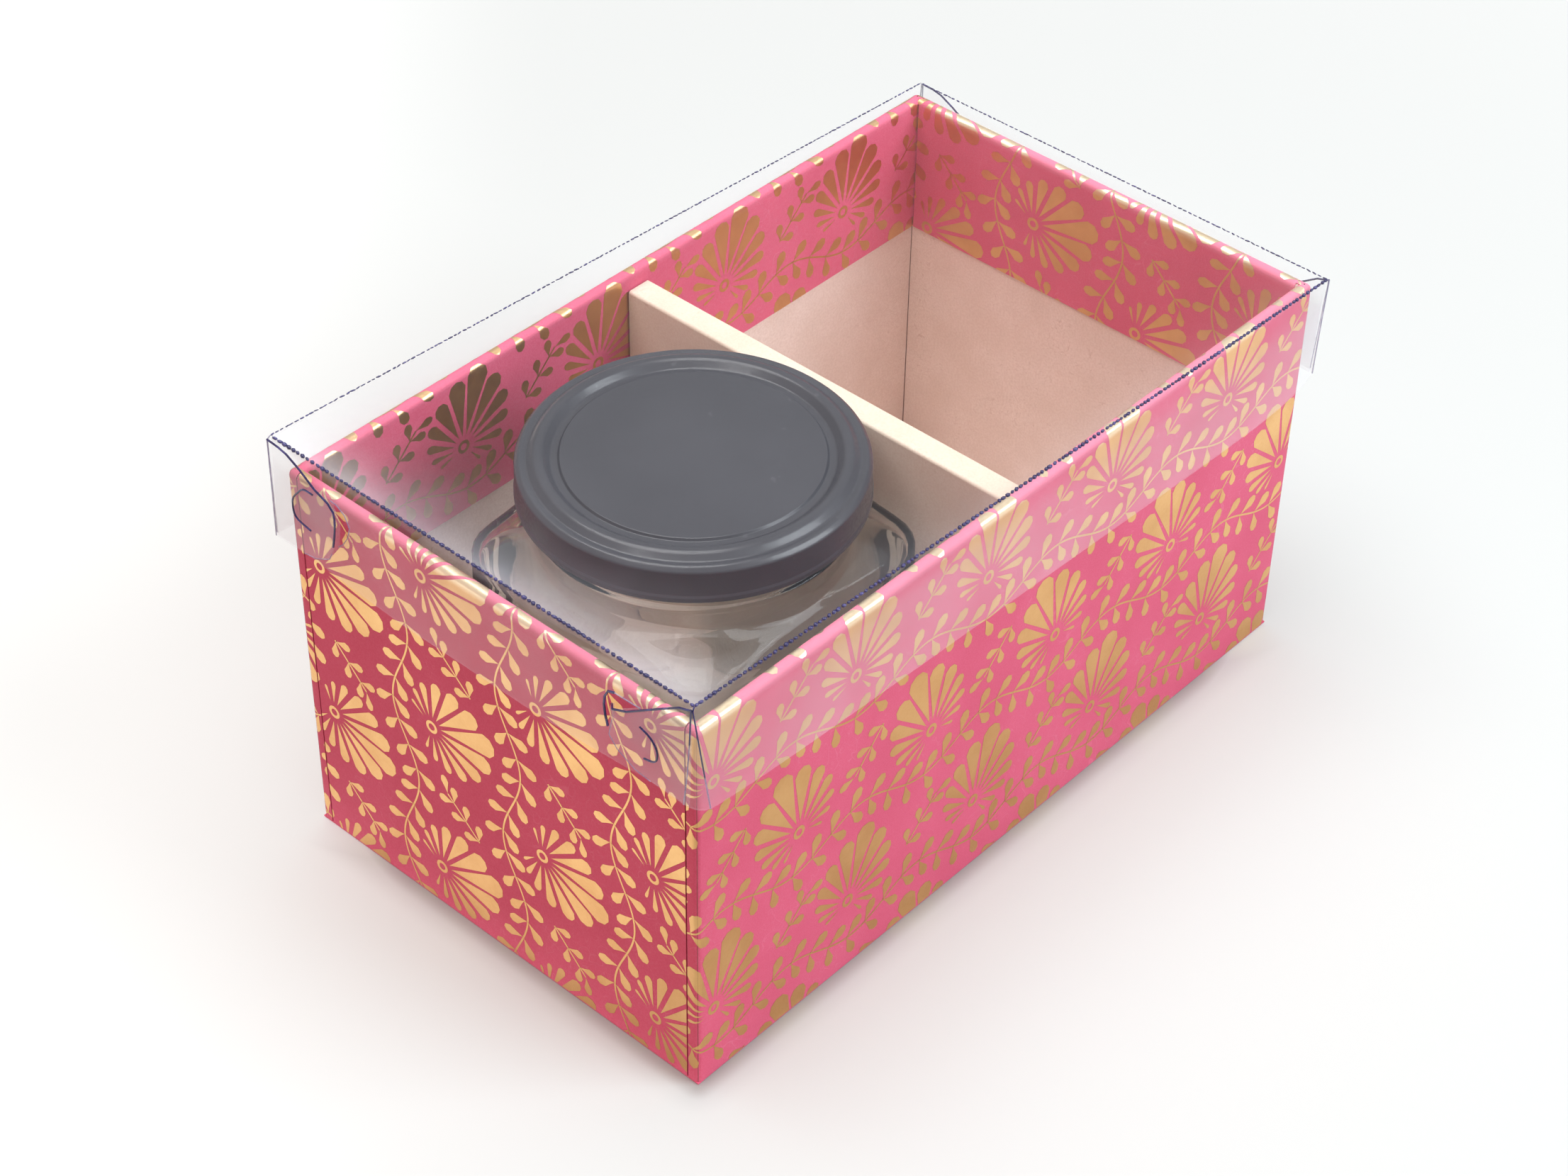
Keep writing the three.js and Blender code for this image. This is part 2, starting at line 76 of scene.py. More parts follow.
def to_mesh(name, bm):
    mesh = bpy.data.meshes.new(name)
    bm.to_mesh(mesh)
    bm.free()
    return mesh


def show(name, data):
    thing = bpy.data.objects.new(name, data)
    bpy.context.scene.collection.objects.link(thing)
    return thing


def stand(place, x, y, z):
    """The matrix of something that stands at a place and has three directions of its own."""
    return Matrix.Translation(place) @ Matrix((x, y, z)).transposed().to_4x4()


def thicken(bm, thickness, outward=None):
    """Thicken a sheet behind its outer face: the one that lies furthest in the direction `outward`."""
    bmesh.ops.recalc_face_normals(bm, faces=bm.faces)
    if outward is not None:
        outer = max(bm.faces, key=lambda face: face.calc_center_median().dot(outward))
        if outer.normal.dot(outward) < 0:
            bmesh.ops.reverse_faces(bm, faces=bm.faces[:])
    bmesh.ops.solidify(bm, geom=bm.faces[:], thickness=thickness)


def make_piece(name, bm, finish, body, replaced=(), soft_angle=35):
    bmesh.ops.scale(bm, vec=(MM, MM, MM), verts=bm.verts)
    mesh = to_mesh(name, bm)
    for one in finish if isinstance(finish, list) else [finish]:
        mesh.materials.append(one)
    mesh.shade_smooth()
    mesh.set_sharp_from_angle(angle=math.radians(soft_angle))
    piece = show(name, mesh)
    if body:
        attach(piece, body)
    if replaced:
        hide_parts(*replaced)
    print(f"{name}: {len(mesh.polygons)} faces")
    return piece


# %% [markdown]
# The camera stands where the photograph was taken from: high in front of the near corner. Its place was
# fitted to the box's own corners, so it is written as a point, a direction to look in and one to the
# right.

# %% Camera
eye = Vector((-422.4, -365.4, 518.6)) * MM
looking = Vector((0.567646, 0.503461, -0.651387)).normalized()
rightward = Vector((0.672273, -0.740175, 0.013761)).normalized()
upward = rightward.cross(looking)
camera_data = bpy.data.cameras.new("camera")
camera_data.sensor_width = 36
camera_data.lens = 74.71
camera = show("camera", camera_data)
camera.matrix_world = stand(eye, rightward, upward, -looking)
bpy.context.scene.camera = camera
print("camera", [round(c, 3) for c in camera.location])


# %% [markdown]
# Colours are measured as screen values, 0 to 255, and shaders work in linear light. A short function
# turns one into the other, so that a colour below reads as it looks. The others save words when nodes are
# wired. A socket takes a plain value or another node's output, a new node joins the tree of the output it
# is given, and every texture lies in the piece's own coordinates.

# %% Colour and node helpers
MIDDLE = (0.3, 0.7)  # most values of a noise lie between these two


def tint(red, green, blue):
    def linear(value):
        share = value / 255
        return share / 12.92 if share <= 0.04045 else ((share + 0.055) / 1.055) ** 2.4

    return (linear(red), linear(green), linear(blue), 1)


def put(tree, kind, **settings):
    node = tree.nodes.new(kind)
    for key, value in settings.items():
        setattr(node, key, value)
    return node


def plug(value, socket):
    if isinstance(value, bpy.types.NodeSocket):
        socket.id_data.links.new(value, socket)
    else:
        socket.default_value = value


def set_inputs(node, **values):
    for key, value in values.items():
        plug(value, node.inputs[key.replace("_", " ")])
    return node


def math_node(operation, first, second=0.0):
    node = put(first.id_data, "ShaderNodeMath", operation=operation)
    plug(first, node.inputs[0])
    plug(second, node.inputs[1])
    return node.outputs[0]


def times(first, second):
    return math_node("MULTIPLY", first, second)


def plus(total, *others):
    for other in others:
        total = math_node("ADD", total, other)
    return total


def ramp_between(value, low, high, start=0.0, end=1.0):
    node = put(value.id_data, "ShaderNodeMapRange", interpolation_type="SMOOTHSTEP")
    for socket, number in zip(node.inputs, (value, low, high, start, end)):
        plug(number, socket)
    return node.outputs[0]


def mix_colours(share, first, second):
    node = put(share.id_data, "ShaderNodeMix", data_type="RGBA")
    for index, value in ((0, share), (6, first), (7, second)):
        plug(value, node.inputs[index])
    return node.outputs[2]


def ray_kinds(tree):
    """The kinds of ray that may arrive, and whether the camera sees the point, through glass or not."""
    path = put(tree, "ShaderNodeLightPath").outputs
    return path, math_node("MAXIMUM", path["Is Camera Ray"], path["Is Transmission Ray"])


def own_place(tree):
    return put(tree, "ShaderNodeTexCoord").outputs["Object"]


def axes_of(vector):
    node = put(vector.id_data, "ShaderNodeSeparateXYZ")
    plug(vector, node.inputs[0])
    return tuple(node.outputs)


def length_of(vector):
    node = put(vector.id_data, "ShaderNodeVectorMath", operation="LENGTH")
    plug(vector, node.inputs[0])
    return node.outputs["Value"]


def noise(tree, scale, detail, distortion=0.0):
    node = put(tree, "ShaderNodeTexNoise")
    set_inputs(node, Vector=own_place(tree), Scale=scale, Detail=detail, Distortion=distortion)
    return node.outputs[0]


def bumped(height, strength, distance):
    node = put(height.id_data, "ShaderNodeBump")
    return set_inputs(node, Strength=strength, Distance=distance, Height=height).outputs["Normal"]


def new_finish(name, **values):
    finish = bpy.data.materials.new(name)
    finish.use_nodes = True
    surface = set_inputs(finish.node_tree.nodes["Principled BSDF"], **values)
    return finish, finish.node_tree, surface


# %% [markdown]
# Floor and light. The photograph is a plain studio picture: a white sweep, one large soft light from the
# front right, and white all round. The floor is a pale matt sheet that also glows a little towards the
# camera. It glows more further off and more to the left, where the glow is painted light that thins the box's
# shadow. It glows less where the box touches it, so it runs into the white behind and keeps the box's shadow.
# A thin dark line in the sheet's colour along the box's front and left foot is a painted contact shadow. In
# the foil's mirror the floor glows brighter to the left and far to the right, a painted reflection, as if
# white cards stood there. Its bounce onto the box's left end is painted dim and warm, a painted shade,
# because that end looks away from the light. Only a narrow strip beside the box glows and lights its foot,
# which is painted light. A ramp is written as two distances in metres and the value at each.

# %% Floor
FLOOR_SIZE, FLOOR_DROP = 8, 0.0002
SHEET_WHITE, SHEET_SHADED = (0.53, 0.57, 0.565, 1), (0.4, 0.26, 0.23, 1)
SHEET_CONTACT_SHADOW, GLOW_TINT = (0.2, 0.16, 0.14, 1), (1, 0.985, 0.955, 1)
GLOW_NEAR, GLOW_FAR, GLOW_LEFT = (0.25, 1.1, 0.18, 0.6), (1, 2.5, 0, 0.4), (-0.08, -0.24, 0, 0.17)
LEFT_REFLECTION_GLOW, RIGHT_REFLECTION_GLOW = (-0.062, 0, 0, 0.55), (0.06, 0.32, 0, 0.42)
CONTACT_SHADE, CONTACT_SHADOW_LINE, CONTACT_FADE = (0, 0.009, 0.3, 1), (0, 0.0045, 0.55, 0), 0.03
STRIP_WIDTH, STRIP_START, STRIP_GLOW = 0.03, 0.003, 0.5
SHADED_SIDE = (-0.08, -0.13)
box_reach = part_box("base_cover_paper")[1]


def floor_finish():
    finish, tree, surface = new_finish("floor_white", Roughness=0.9, Specular_IOR_Level=0.1)
    x, y = axes_of(own_place(tree))[:2]
    path, seen = ray_kinds(tree)
    bounced = path["Is Diffuse Ray"]
    far, to_right = length_of(own_place(tree)), math_node("SUBTRACT", x, y)
    # painted light: the glow grows to the left and thins the box's shadow there
    ramps = (far, GLOW_NEAR), (far, GLOW_FAR), (to_right, GLOW_LEFT)
    sweep = plus(*(ramp_between(value, *ramp) for value, ramp in ramps))
    # painted reflection: seen only in mirrors, the floor glows to the left and far to the right
    mirrored = plus(ramp_between(y, *LEFT_REFLECTION_GLOW), ramp_between(to_right, *RIGHT_REFLECTION_GLOW))
    glow = plus(times(seen, sweep), times(path["Is Glossy Ray"], mirrored))
    beyond, behind = put(tree, "ShaderNodeCombineXYZ"), []
    for socket, value, half in zip(beyond.inputs, (x, y), box_reach):
        past = math_node("SUBTRACT", math_node("ABSOLUTE", value), half)
        plug(math_node("MAXIMUM", past, 0), socket)
        behind.append(ramp_between(value, half - CONTACT_FADE, half))
    gap, behind = length_of(beyond.outputs[0]), math_node("MAXIMUM", *behind)
    glow = times(glow, math_node("MAXIMUM", behind, ramp_between(gap, *CONTACT_SHADE)))
    foot = -box_reach.x
    # painted light: a strip beside the left end glows for bounced rays and lights the box's foot
    strip = ramp_between(x, foot - STRIP_WIDTH, foot, 0, STRIP_GLOW)
    strip = times(strip, ramp_between(x, foot + STRIP_START, foot))
    # painted shade: seen by bounced rays only, the floor is darker and warm by the left end, which dims that
    # end
    shaded = times(bounced, ramp_between(x, *SHADED_SIDE))
    # painted contact shadow: the sheet's colour darkens in a thin line at the box's front and left foot
    line = math_node("SUBTRACT", ramp_between(gap, *CONTACT_SHADOW_LINE), behind)
    line = times(seen, math_node("MAXIMUM", line, 0))
    sheet = mix_colours(shaded, SHEET_WHITE, SHEET_SHADED)
    set_inputs(
        surface, Base_Color=mix_colours(line, sheet, SHEET_CONTACT_SHADOW), Emission_Color=GLOW_TINT,
        Emission_Strength=plus(glow, times(bounced, strip)),
    )
    return finish


bm = bmesh.new()
bmesh.ops.create_grid(bm, x_segments=1, y_segments=1, size=FLOOR_SIZE / 2)
floor = show("floor", to_mesh("floor", bm))
floor.data.materials.append(floor_finish())
floor.location.z = -FLOOR_DROP
print("floor", FLOOR_SIZE, "m square")


# %% Light
def soft_lamp(name, place, aim, width, height, watts, colour=(1, 1, 1)):
    lamp = bpy.data.lights.new(name, "AREA")
    lamp.shape = "RECTANGLE"
    lamp.size, lamp.size_y = width, height
    lamp.energy, lamp.color = watts, colour
    holder = show(name, lamp)
    holder.location = place
    holder.rotation_euler = (Vector(aim) - Vector(place)).to_track_quat("-Z", "Y").to_euler()


soft_lamp("key_softbox", (0.55, -1.15, 1.0), (0, 0, 0.05), 0.9, 0.9, 17.5, (0.88, 0.95, 1))
soft_lamp("left_softbox", (-1.1, 0.75, 0.3), (0, 0, 0.05), 1.0, 0.6, 0.7, (1, 0.62, 0.5))
soft_lamp("top_softbox", (-0.25, 0.2, 1.5), (0, 0, 0), 1.3, 1.1, 19.5)
ROOM_LIGHT, ROOM_TINT, WARM_TINT = 0.45, (1, 1, 1, 1), (1, 0.44, 0.37, 1)
CEILING, WARM_SIDE = (0.1, 0.7, 0, 0.35), (0.1, -0.6)
world = bpy.data.worlds.new("studio")
bpy.context.scene.world = world
world.use_nodes = True
sky = world.node_tree
path, seen = ray_kinds(sky)
heading = axes_of(put(sky, "ShaderNodeTexCoord").outputs["Generated"])
overhead = times(path["Is Glossy Ray"], ramp_between(heading[2], *CEILING))
warm = times(ramp_between(heading[0], *WARM_SIDE), path["Is Diffuse Ray"])
set_inputs(
    sky.nodes["Background"], Color=mix_colours(warm, ROOM_TINT, WARM_TINT),
    Strength=plus(times(seen, 1 - ROOM_LIGHT), ROOM_LIGHT, overhead),
)
bpy.context.scene.view_settings.view_transform = "Standard"
print("room light", ROOM_LIGHT)


# %% [markdown]
# Paper, board and card are all made of fibres. One node group draws them for every such finish: a cloudy
# mottle where the pulp lies thicker, single fibres as thin wandering lines, and a fine tooth for the
# bump. A fibre is the line along which a noise crosses its middle value, which gives long hair-like
# curves.

# %% Fibre group
def fibre_group():
    group = bpy.data.node_groups.new("pulp_fibres", "ShaderNodeTree")
    for name, value in (("Cloud Scale", 60), ("Fibre Scale", 140), ("Tooth Scale", 2200)):
        socket = group.interface.new_socket(name=name, in_out="INPUT", socket_type="NodeSocketFloat")
        socket.default_value = value
    for name in ("Cloud", "Fibre", "Tooth"):
        group.interface.new_socket(name=name, in_out="OUTPUT", socket_type="NodeSocketFloat")
    cloud_scale, fibre_scale, tooth_scale = list(put(group, "NodeGroupInput").outputs)[:3]

    def hair(scale, thin):
        off_middle = math_node("SUBTRACT", noise(group, scale, 1, 0.6), 0.5)
        return ramp_between(math_node("ABSOLUTE", off_middle), 0, thin, 1, 0)

    patchy = ramp_between(noise(group, cloud_scale, 2), 0.45, 0.62)
    coarse, fine = hair(fibre_scale, 0.008), hair(times(fibre_scale, 2.3), 0.012)
    set_inputs(
        put(group, "NodeGroupOutput"), Cloud=noise(group, cloud_scale, 4), Tooth=noise(group, tooth_scale, 3),
        Fibre=times(math_node("MAXIMUM", coarse, fine), patchy),
    )
    return group


pulp_fibres = fibre_group()
print("group", pulp_fibres.name)


# %% [markdown]
# A finish is given by its two cloudy colours, the colour of its fibres, its roughness, the three scales of
# its pulp and the depth of its tooth. Up on the rim the paper is painted paler, partly because it is
# stretched there and partly as a painted highlight where the rim catches the light from above. The rim at the
# back turns that highlight away, so it gets less.

# %% Fibrous finishes
# the back rim keeps only part of the painted highlight, faded over this width
RIM_HEIGHTS, BACK_RIM_HIGHLIGHT_FADE, BACK_RIM_HIGHLIGHT_SHARE = (0.0975, 0.0997), (0.052, 0.044), 0.3
STRAND_SHARE, STRAND_HEIGHT, GRAIN_SHARE = 0.35, 0.5, (0.35, 0.65, 0, 0.2)
ROUGHNESS_SPREAD, TOOTH_DEPTH, PAPER_RIM_PALE_AND_HIGHLIGHT, FOIL_RIM_HIGHLIGHT = 0.06, 0.00012, 0.7, 0.8


def rim_stretch_and_highlight(tree, most):
    """How far a point is up onto the box's rim, where paper and foil are painted paler: the paper partly for
    its stretching, both as a painted highlight that fades on the rim at the back.
    """
    y, z = axes_of(own_place(tree))[1:]
    lit = ramp_between(y, *BACK_RIM_HIGHLIGHT_FADE, BACK_RIM_HIGHLIGHT_SHARE * most, most)
    return times(ramp_between(z, *RIM_HEIGHTS), lit)


def fibrous_finish(name, light, dark, fibre, roughness, scales, tooth, shine=0.3, rim_pale_and_highlight=None):
    finish, tree, surface = new_finish(name, Specular_IOR_Level=shine)
    pulp = put(tree, "ShaderNodeGroup", node_tree=pulp_fibres)
    for socket, value in zip(pulp.inputs, scales):
        socket.default_value = value
    cloud, strand, grain = pulp.outputs
    colour = mix_colours(ramp_between(cloud, *MIDDLE), dark, light)
    share = plus(times(strand, STRAND_SHARE), ramp_between(grain, *GRAIN_SHARE))
    colour = mix_colours(share, colour, fibre)
    # painted highlight on the rim, partly the paper's own stretching
    if rim_pale_and_highlight:
        colour = mix_colours(rim_stretch_and_highlight(tree, PAPER_RIM_PALE_AND_HIGHLIGHT), colour, rim_pale_and_highlight)
    low, high = roughness - ROUGHNESS_SPREAD, roughness + ROUGHNESS_SPREAD
    height = plus(grain, times(strand, STRAND_HEIGHT))
    set_inputs(
        surface, Base_Color=colour, Roughness=ramp_between(grain, *MIDDLE, low, high),
        Normal=bumped(height, tooth, TOOTH_DEPTH),
    )
    return finish


def dress(name, finish):
    nodes[name].data.materials.clear()
    nodes[name].data.materials.append(finish)


# the pale pink on the rim is partly stretched paper and partly painted highlight
pink_paper = fibrous_finish(
    "pink_paper", tint(225, 98, 131), tint(217, 89, 121), tint(236, 137, 163), 0.55, (45, 130, 2600), 0.35,
    shine=0.15, rim_pale_and_highlight=tint(243, 150, 176),
)
grey_board = fibrous_finish(
    "bare_board", tint(243, 227, 218), tint(234, 216, 205), tint(196, 168, 152), 0.85, (70, 220, 1800), 0.4,
)
cream_card = fibrous_finish(
    "cream_card", tint(238, 226, 208), tint(230, 215, 195), tint(206, 182, 156), 0.8, (60, 200, 2000), 0.3,
)
kraft_tape = fibrous_finish(
    "kraft_tape", tint(120, 88, 72), tint(100, 72, 60), tint(140, 110, 90), 0.8, (60, 200, 2000), 0.3,
)
for name in nodes:
    if name.endswith("_board"):
        dress(name, grey_board)
    elif name.endswith("corner_tape"):
        dress(name, kraft_tape)
print("fibrous finishes:", pink_paper.name, grey_board.name, cream_card.name, kraft_tape.name)


# %% [markdown]
# The covering is one cross-shaped sheet: each side runs up the outside, over the rounded rim and down the
# inside to its turned-in edge. So paper and print are drawn flat, in two measures: `run` along the side
# and `climb` from the bottom edge up and over. One function then folds any flat point into place. The
# long sides' paper also turns the corners and ends in a seam on the short sides, as on any hand-covered
# box.

# %% Fold a flat point
HALF_LENGTH, HALF_WIDTH = box_mm("base_cover_paper")[1].xy
front_low, front_high = box_mm("front_cover_paper")
BOX_HEIGHT, RIM_WIDTH = front_high.z, front_high.y - front_low.y
RIM_ROUND, HEM_HEIGHT, PAPER_FOOT = 1.3, 64, 0.35
QUARTER_ARC = QUARTER_TURN * RIM_ROUND
climb_arc = BOX_HEIGHT - RIM_ROUND
climb_flat = climb_arc + QUARTER_ARC
climb_over = climb_flat + RIM_WIDTH - 2 * RIM_ROUND
climb_inside = climb_over + QUARTER_ARC
climb_hem = climb_inside + climb_arc - HEM_HEIGHT


def bend_round(past, radius):
    """A line bends by up to a quarter turn: how far it comes ahead and aside, and how far it has turned."""
    turn = min(max(past / radius, 0), QUARTER_TURN)
    beyond = max(past - radius * QUARTER_TURN, 0)
    return min(past, 0) + radius * math.sin(turn), radius * (1 - math.cos(turn)) + beyond, turn


def rim_profile(climb):
    """How far in from the outside, how high, and how far the surface has turned over."""
    if climb <= climb_flat:
        height, inset, turn = bend_round(climb - climb_arc, RIM_ROUND)
        return inset, climb_arc + height, turn
    inset, down, turn = bend_round(climb - climb_over, RIM_ROUND)
    return RIM_WIDTH - RIM_ROUND + inset, BOX_HEIGHT - down, QUARTER_TURN + turn


def fold_point(point, side, lift):
    """A flat (run, climb) point of a side, as if it were the front, lifted off the paper by `lift`."""
    inset, height, over = rim_profile(point.y)
    straight, way = side.half_run - RIM_ROUND, math.copysign(1, point.x)
    ahead, aside, turn = bend_round(abs(point.x) - straight, RIM_ROUND)
    off = lift * math.cos(over) - inset
    x = way * (straight + ahead + off * math.sin(turn))
    y = aside - side.half_out - off * math.cos(turn)
    return Vector((x, y, height + lift * math.sin(over)))


print(f"one side is {climb_hem:.1f} mm from its bottom edge to its turned-in edge")


# %% [markdown]
# A side is known by four things: half its run, how far out it stands, where its paper ends and how many
# quarter turns bring it from the front to its place. A flat drawing is trimmed to the side's outline,
# scored along every fold and then folded point by point.

# %% Cut and fold one side
ARC_FOLDS, SHEET_SPARE = 4, 20
SEAM_GAP, SEAM_SHIFT = 0.35, 0.1
SEAM_AT = HALF_WIDTH - RIM_WIDTH - SEAM_SHIFT
LONG_END = HALF_LENGTH - RIM_ROUND + QUARTER_ARC + HALF_WIDTH - RIM_ROUND - SEAM_AT - SEAM_GAP / 2
SHORT_END = SEAM_AT - SEAM_GAP / 2
Side = namedtuple("Side", "half_run half_out end turns")
SIDES = {
    "front": Side(HALF_LENGTH, HALF_WIDTH, LONG_END, 0),
    "right": Side(HALF_WIDTH, HALF_LENGTH, SHORT_END, 1),
    "back": Side(HALF_LENGTH, HALF_WIDTH, LONG_END, 2),
    "left": Side(HALF_WIDTH, HALF_LENGTH, SHORT_END, 3),
}
ARC_SHARES = [step / ARC_FOLDS for step in range(ARC_FOLDS + 1)]
CLIMB_FOLDS = [start + share * QUARTER_ARC for start in (climb_arc, climb_over) for share in ARC_SHARES]


def cut_line(bm, point, across, **clear):
    """Cut a flat drawing along the line through a point that is square to `across`."""
    bmesh.ops.bisect_plane(
        bm, geom=bm.verts[:] + bm.edges[:] + bm.faces[:], dist=1e-5, plane_co=(*point, 0),
        plane_no=(*across, 0), **clear,
    )


def cut_run(bm, at, **clear):
    cut_line(bm, (at, 0), (1, 0), **clear)


def cut_climb(bm, at, **clear):
    cut_line(bm, (0, at), (0, 1), **clear)


def cut_to_side(bm, side):
    """Trim a flat drawing to a side's outline and score it along every fold."""
    straight = side.half_run - RIM_ROUND
    reach = max(side.end, straight)
    cut_run(bm, reach, clear_outer=True)
    cut_run(bm, -reach, clear_inner=True)
    cut_climb(bm, PAPER_FOOT, clear_inner=True)
    cut_climb(bm, climb_hem, clear_outer=True)
    for climb in CLIMB_FOLDS:
        cut_climb(bm, climb)
    ends = [straight, min(side.end, straight)]
    if side.end > straight:
        ends += [straight + share * QUARTER_ARC for share in ARC_SHARES]
    for end in ends:
        cut_run(bm, end)
        cut_run(bm, -end)
    spare = []
    for face in bm.faces:
        middle = face.calc_center_median()
        mitre = side.half_run - rim_profile(middle.y)[0]
        if abs(middle.x) > (side.end if middle.y < climb_flat else mitre):
            spare.append(face)
    bmesh.ops.delete(bm, geom=spare, context="FACES")


def fold_side(bm, side, lift=0.0):
    for vert in bm.verts:
        vert.co = fold_point(vert.co, side, lift)
    bmesh.ops.rotate(bm, matrix=Matrix.Rotation(side.turns * QUARTER_TURN, 3, "Z"), verts=bm.verts)


def flat_sheet(columns, rows, half_x, half_y, middle):
    """A flat sheet with a grid of faces, reaching half_x and half_y from its middle."""
    bm = bmesh.new()
    bmesh.ops.create_grid(bm, x_segments=columns, y_segments=rows, size=1)
    bmesh.ops.scale(bm, vec=(half_x, half_y, 1), verts=bm.verts)
    bmesh.ops.translate(bm, vec=middle, verts=bm.verts)
    return bm


# %% Paper sides
PAPER, SAME_POINT = 0.25, 0.002
for name, side in SIDES.items():
    half_climb = climb_hem / 2
    bm = flat_sheet(24, 16, side.half_run + SHEET_SPARE, half_climb + SHEET_SPARE, (0, half_climb, 0))
    cut_to_side(bm, side)
    fold_side(bm, side)
    bmesh.ops.remove_doubles(bm, verts=bm.verts, dist=SAME_POINT)
    thicken(bm, PAPER)
    make_piece(f"{name}_paper", bm, pink_paper, "tray", [f"{name}_cover_paper"])


# %% [markdown]
# The print is gold foil: rows of fan palmettes with a leafy vine waving below each row and a sprig
# between neighbours, an old stock design for gift papers. Every petal and leaf is a drop: a circle whose
# one end is drawn out to a point. Every other row leans the other way. The rows are laid out on the whole
# flat sheet, so they run on over the folds from side to side.

# %% Draw one repeat of the print
REPEAT, ROW = 41.4, 32.1


def drop(bm, foot, heading, length, width, points=10, belly=0.66, taper=1.3):
    """A petal or leaf from its pointed foot along a heading, measured from straight up to the right."""
    made = bmesh.ops.create_circle(bm, cap_ends=True, segments=points, radius=1)["verts"]
    for vert in made:
        along = (vert.co.y + 1) / 2
        if along < belly:
            swell = (along / belly) ** taper
        else:
            swell = math.sqrt(max(1 - ((along - belly) / (1 - belly)) ** 2, 0))
        side = 1 if vert.co.x > 0 else -1
        across = 0 if abs(vert.co.x) < 1e-4 else side * swell * width / 2
        vert.co = Vector((across, along * length, 0))
    bmesh.ops.rotate(bm, matrix=Matrix.Rotation(-heading, 3, "Z"), verts=made)
    bmesh.ops.translate(bm, vec=(foot[0], foot[1], 0), verts=made)


def stem(bm, points, width):
    """A thin strip along a line of points."""
    rails = []
    for index, point in enumerate(points):
        before, after = points[max(index - 1, 0)], points[min(index + 1, len(points) - 1)]
        along = Vector((after[0] - before[0], after[1] - before[1])).normalized()
        across = Vector((-along.y, along.x)) * width / 2
        middle = Vector(point)
        rails.append([bm.verts.new((*(middle + across), 0)), bm.verts.new((*(middle - across), 0))])
    for one, two in zip(rails, rails[1:]):
        bm.faces.new((one[0], one[1], two[1], two[0]))


PETALS_EACH_WAY, PETAL_STEP, FAN_LEAN = 6, math.radians(20.7), math.radians(17.5)
FAN_REACH, REACH_LOSS, PETAL_FOOT, PETAL_SHAPE = 20, 2.12, 2.9, (16, 0.84, 1.05)
PETAL_WIDTH, WIDTH_LOSS, WIDTH_EASE = 6.0, 0.19, 0.008
RING_RADIUS, RING_WIDTH = 1.7, 0.8


def fan(bm):
    """Petals round a small ring: the largest leans to the right, the others shrink away from it."""
    for count in range(-PETALS_EACH_WAY, PETALS_EACH_WAY + 1):
        heading, steps = FAN_LEAN + count * PETAL_STEP, abs(count)
        length = FAN_REACH - REACH_LOSS * steps - PETAL_FOOT
        width = PETAL_WIDTH * (1 - WIDTH_LOSS * steps + WIDTH_EASE * steps * steps)
        foot = (PETAL_FOOT * math.sin(heading), PETAL_FOOT * math.cos(heading))
        drop(bm, foot, heading, length, width, *PETAL_SHAPE)
    ring = bmesh.ops.create_circle(bm, cap_ends=True, segments=16, radius=RING_RADIUS)["verts"]
    disc = ring[0].link_faces[0]
    bmesh.ops.inset_region(bm, faces=[disc], thickness=RING_WIDTH, use_boundary=True)
    bmesh.ops.delete(bm, geom=[disc], context="FACES_ONLY")


VINE_DROP, VINE_WAVE, VINE_STEPS, VINE_LEAVES, STEM_WIDTH = -8.6, 3.1, 36, 7, 0.48
VINE_PAIR = ((math.radians(-48), 6.2, 3.1), (math.radians(62), 6.0, 2.8))


def vine(bm, shift, first_leaf):
    """A wavy stem with leaves in pairs, lowest `shift` to the right of the fan."""
    def at(run):
        return Vector((run, VINE_DROP - VINE_WAVE * math.cos(2 * math.pi * (run - shift) / REPEAT)))

    stem(bm, [at(REPEAT * step / VINE_STEPS) for step in range(VINE_STEPS + 1)], STEM_WIDTH)
    for count in range(VINE_LEAVES):
        run = REPEAT * (count + first_leaf) / VINE_LEAVES
        ahead = at(run + 0.5) - at(run)
        heading = math.atan2(ahead.x, ahead.y)
        for lean, length, width in VINE_PAIR:
            drop(bm, at(run), heading + lean, length, width)


SPRIG_STEPS, SPRIG_PAIRS, SPRIG_LEAN = 4, (0.02, 0.42, 0.8), math.radians(50)
SPRIG_LEAF, SPRIG_TIP = (4.7, 2.4), (5, 2.3)


def sprig(bm, start, end, tip_heading):
    """A short stem with three pairs of leaves and one leaf at its tip."""
    start, end = Vector(start), Vector(end)
    heading = math.atan2(end.x - start.x, end.y - start.y)
    stem(bm, [start.lerp(end, step / SPRIG_STEPS) for step in range(SPRIG_STEPS + 1)], STEM_WIDTH)
    for share in SPRIG_PAIRS:
        for side in (-1, 1):
            drop(bm, start.lerp(end, share), heading + side * SPRIG_LEAN, *SPRIG_LEAF)
    drop(bm, end, tip_heading, *SPRIG_TIP)


def repeat_mesh(name, mirrored):
    bm = bmesh.new()
    fan(bm)
    if mirrored:
        bmesh.ops.scale(bm, vec=(-1, 1, 1), verts=bm.verts)
        bmesh.ops.reverse_faces(bm, faces=bm.faces[:])
        vine(bm, -1.7, 0.68)
        sprig(bm, (25.5, 12.8), (17, 3.6), math.radians(-103))
    else:
        vine(bm, 1.7, 0)
        sprig(bm, (-22.5, 2.7), (-13.2, 11.7), math.radians(80))
    return to_mesh(name, bm)


repeats = [repeat_mesh("repeat_leaning_right", False), repeat_mesh("repeat_leaning_left", True)]
print("faces in one repeat:", [len(mesh.polygons) for mesh in repeats])

# %% Lay the print out on the flat sheet
FIRST_ROW, FIRST_RUN, HALF_DROP = 78, -95.2, 25.3
ROW_OVERHANG, RUN_OVERHANG = 25, 45


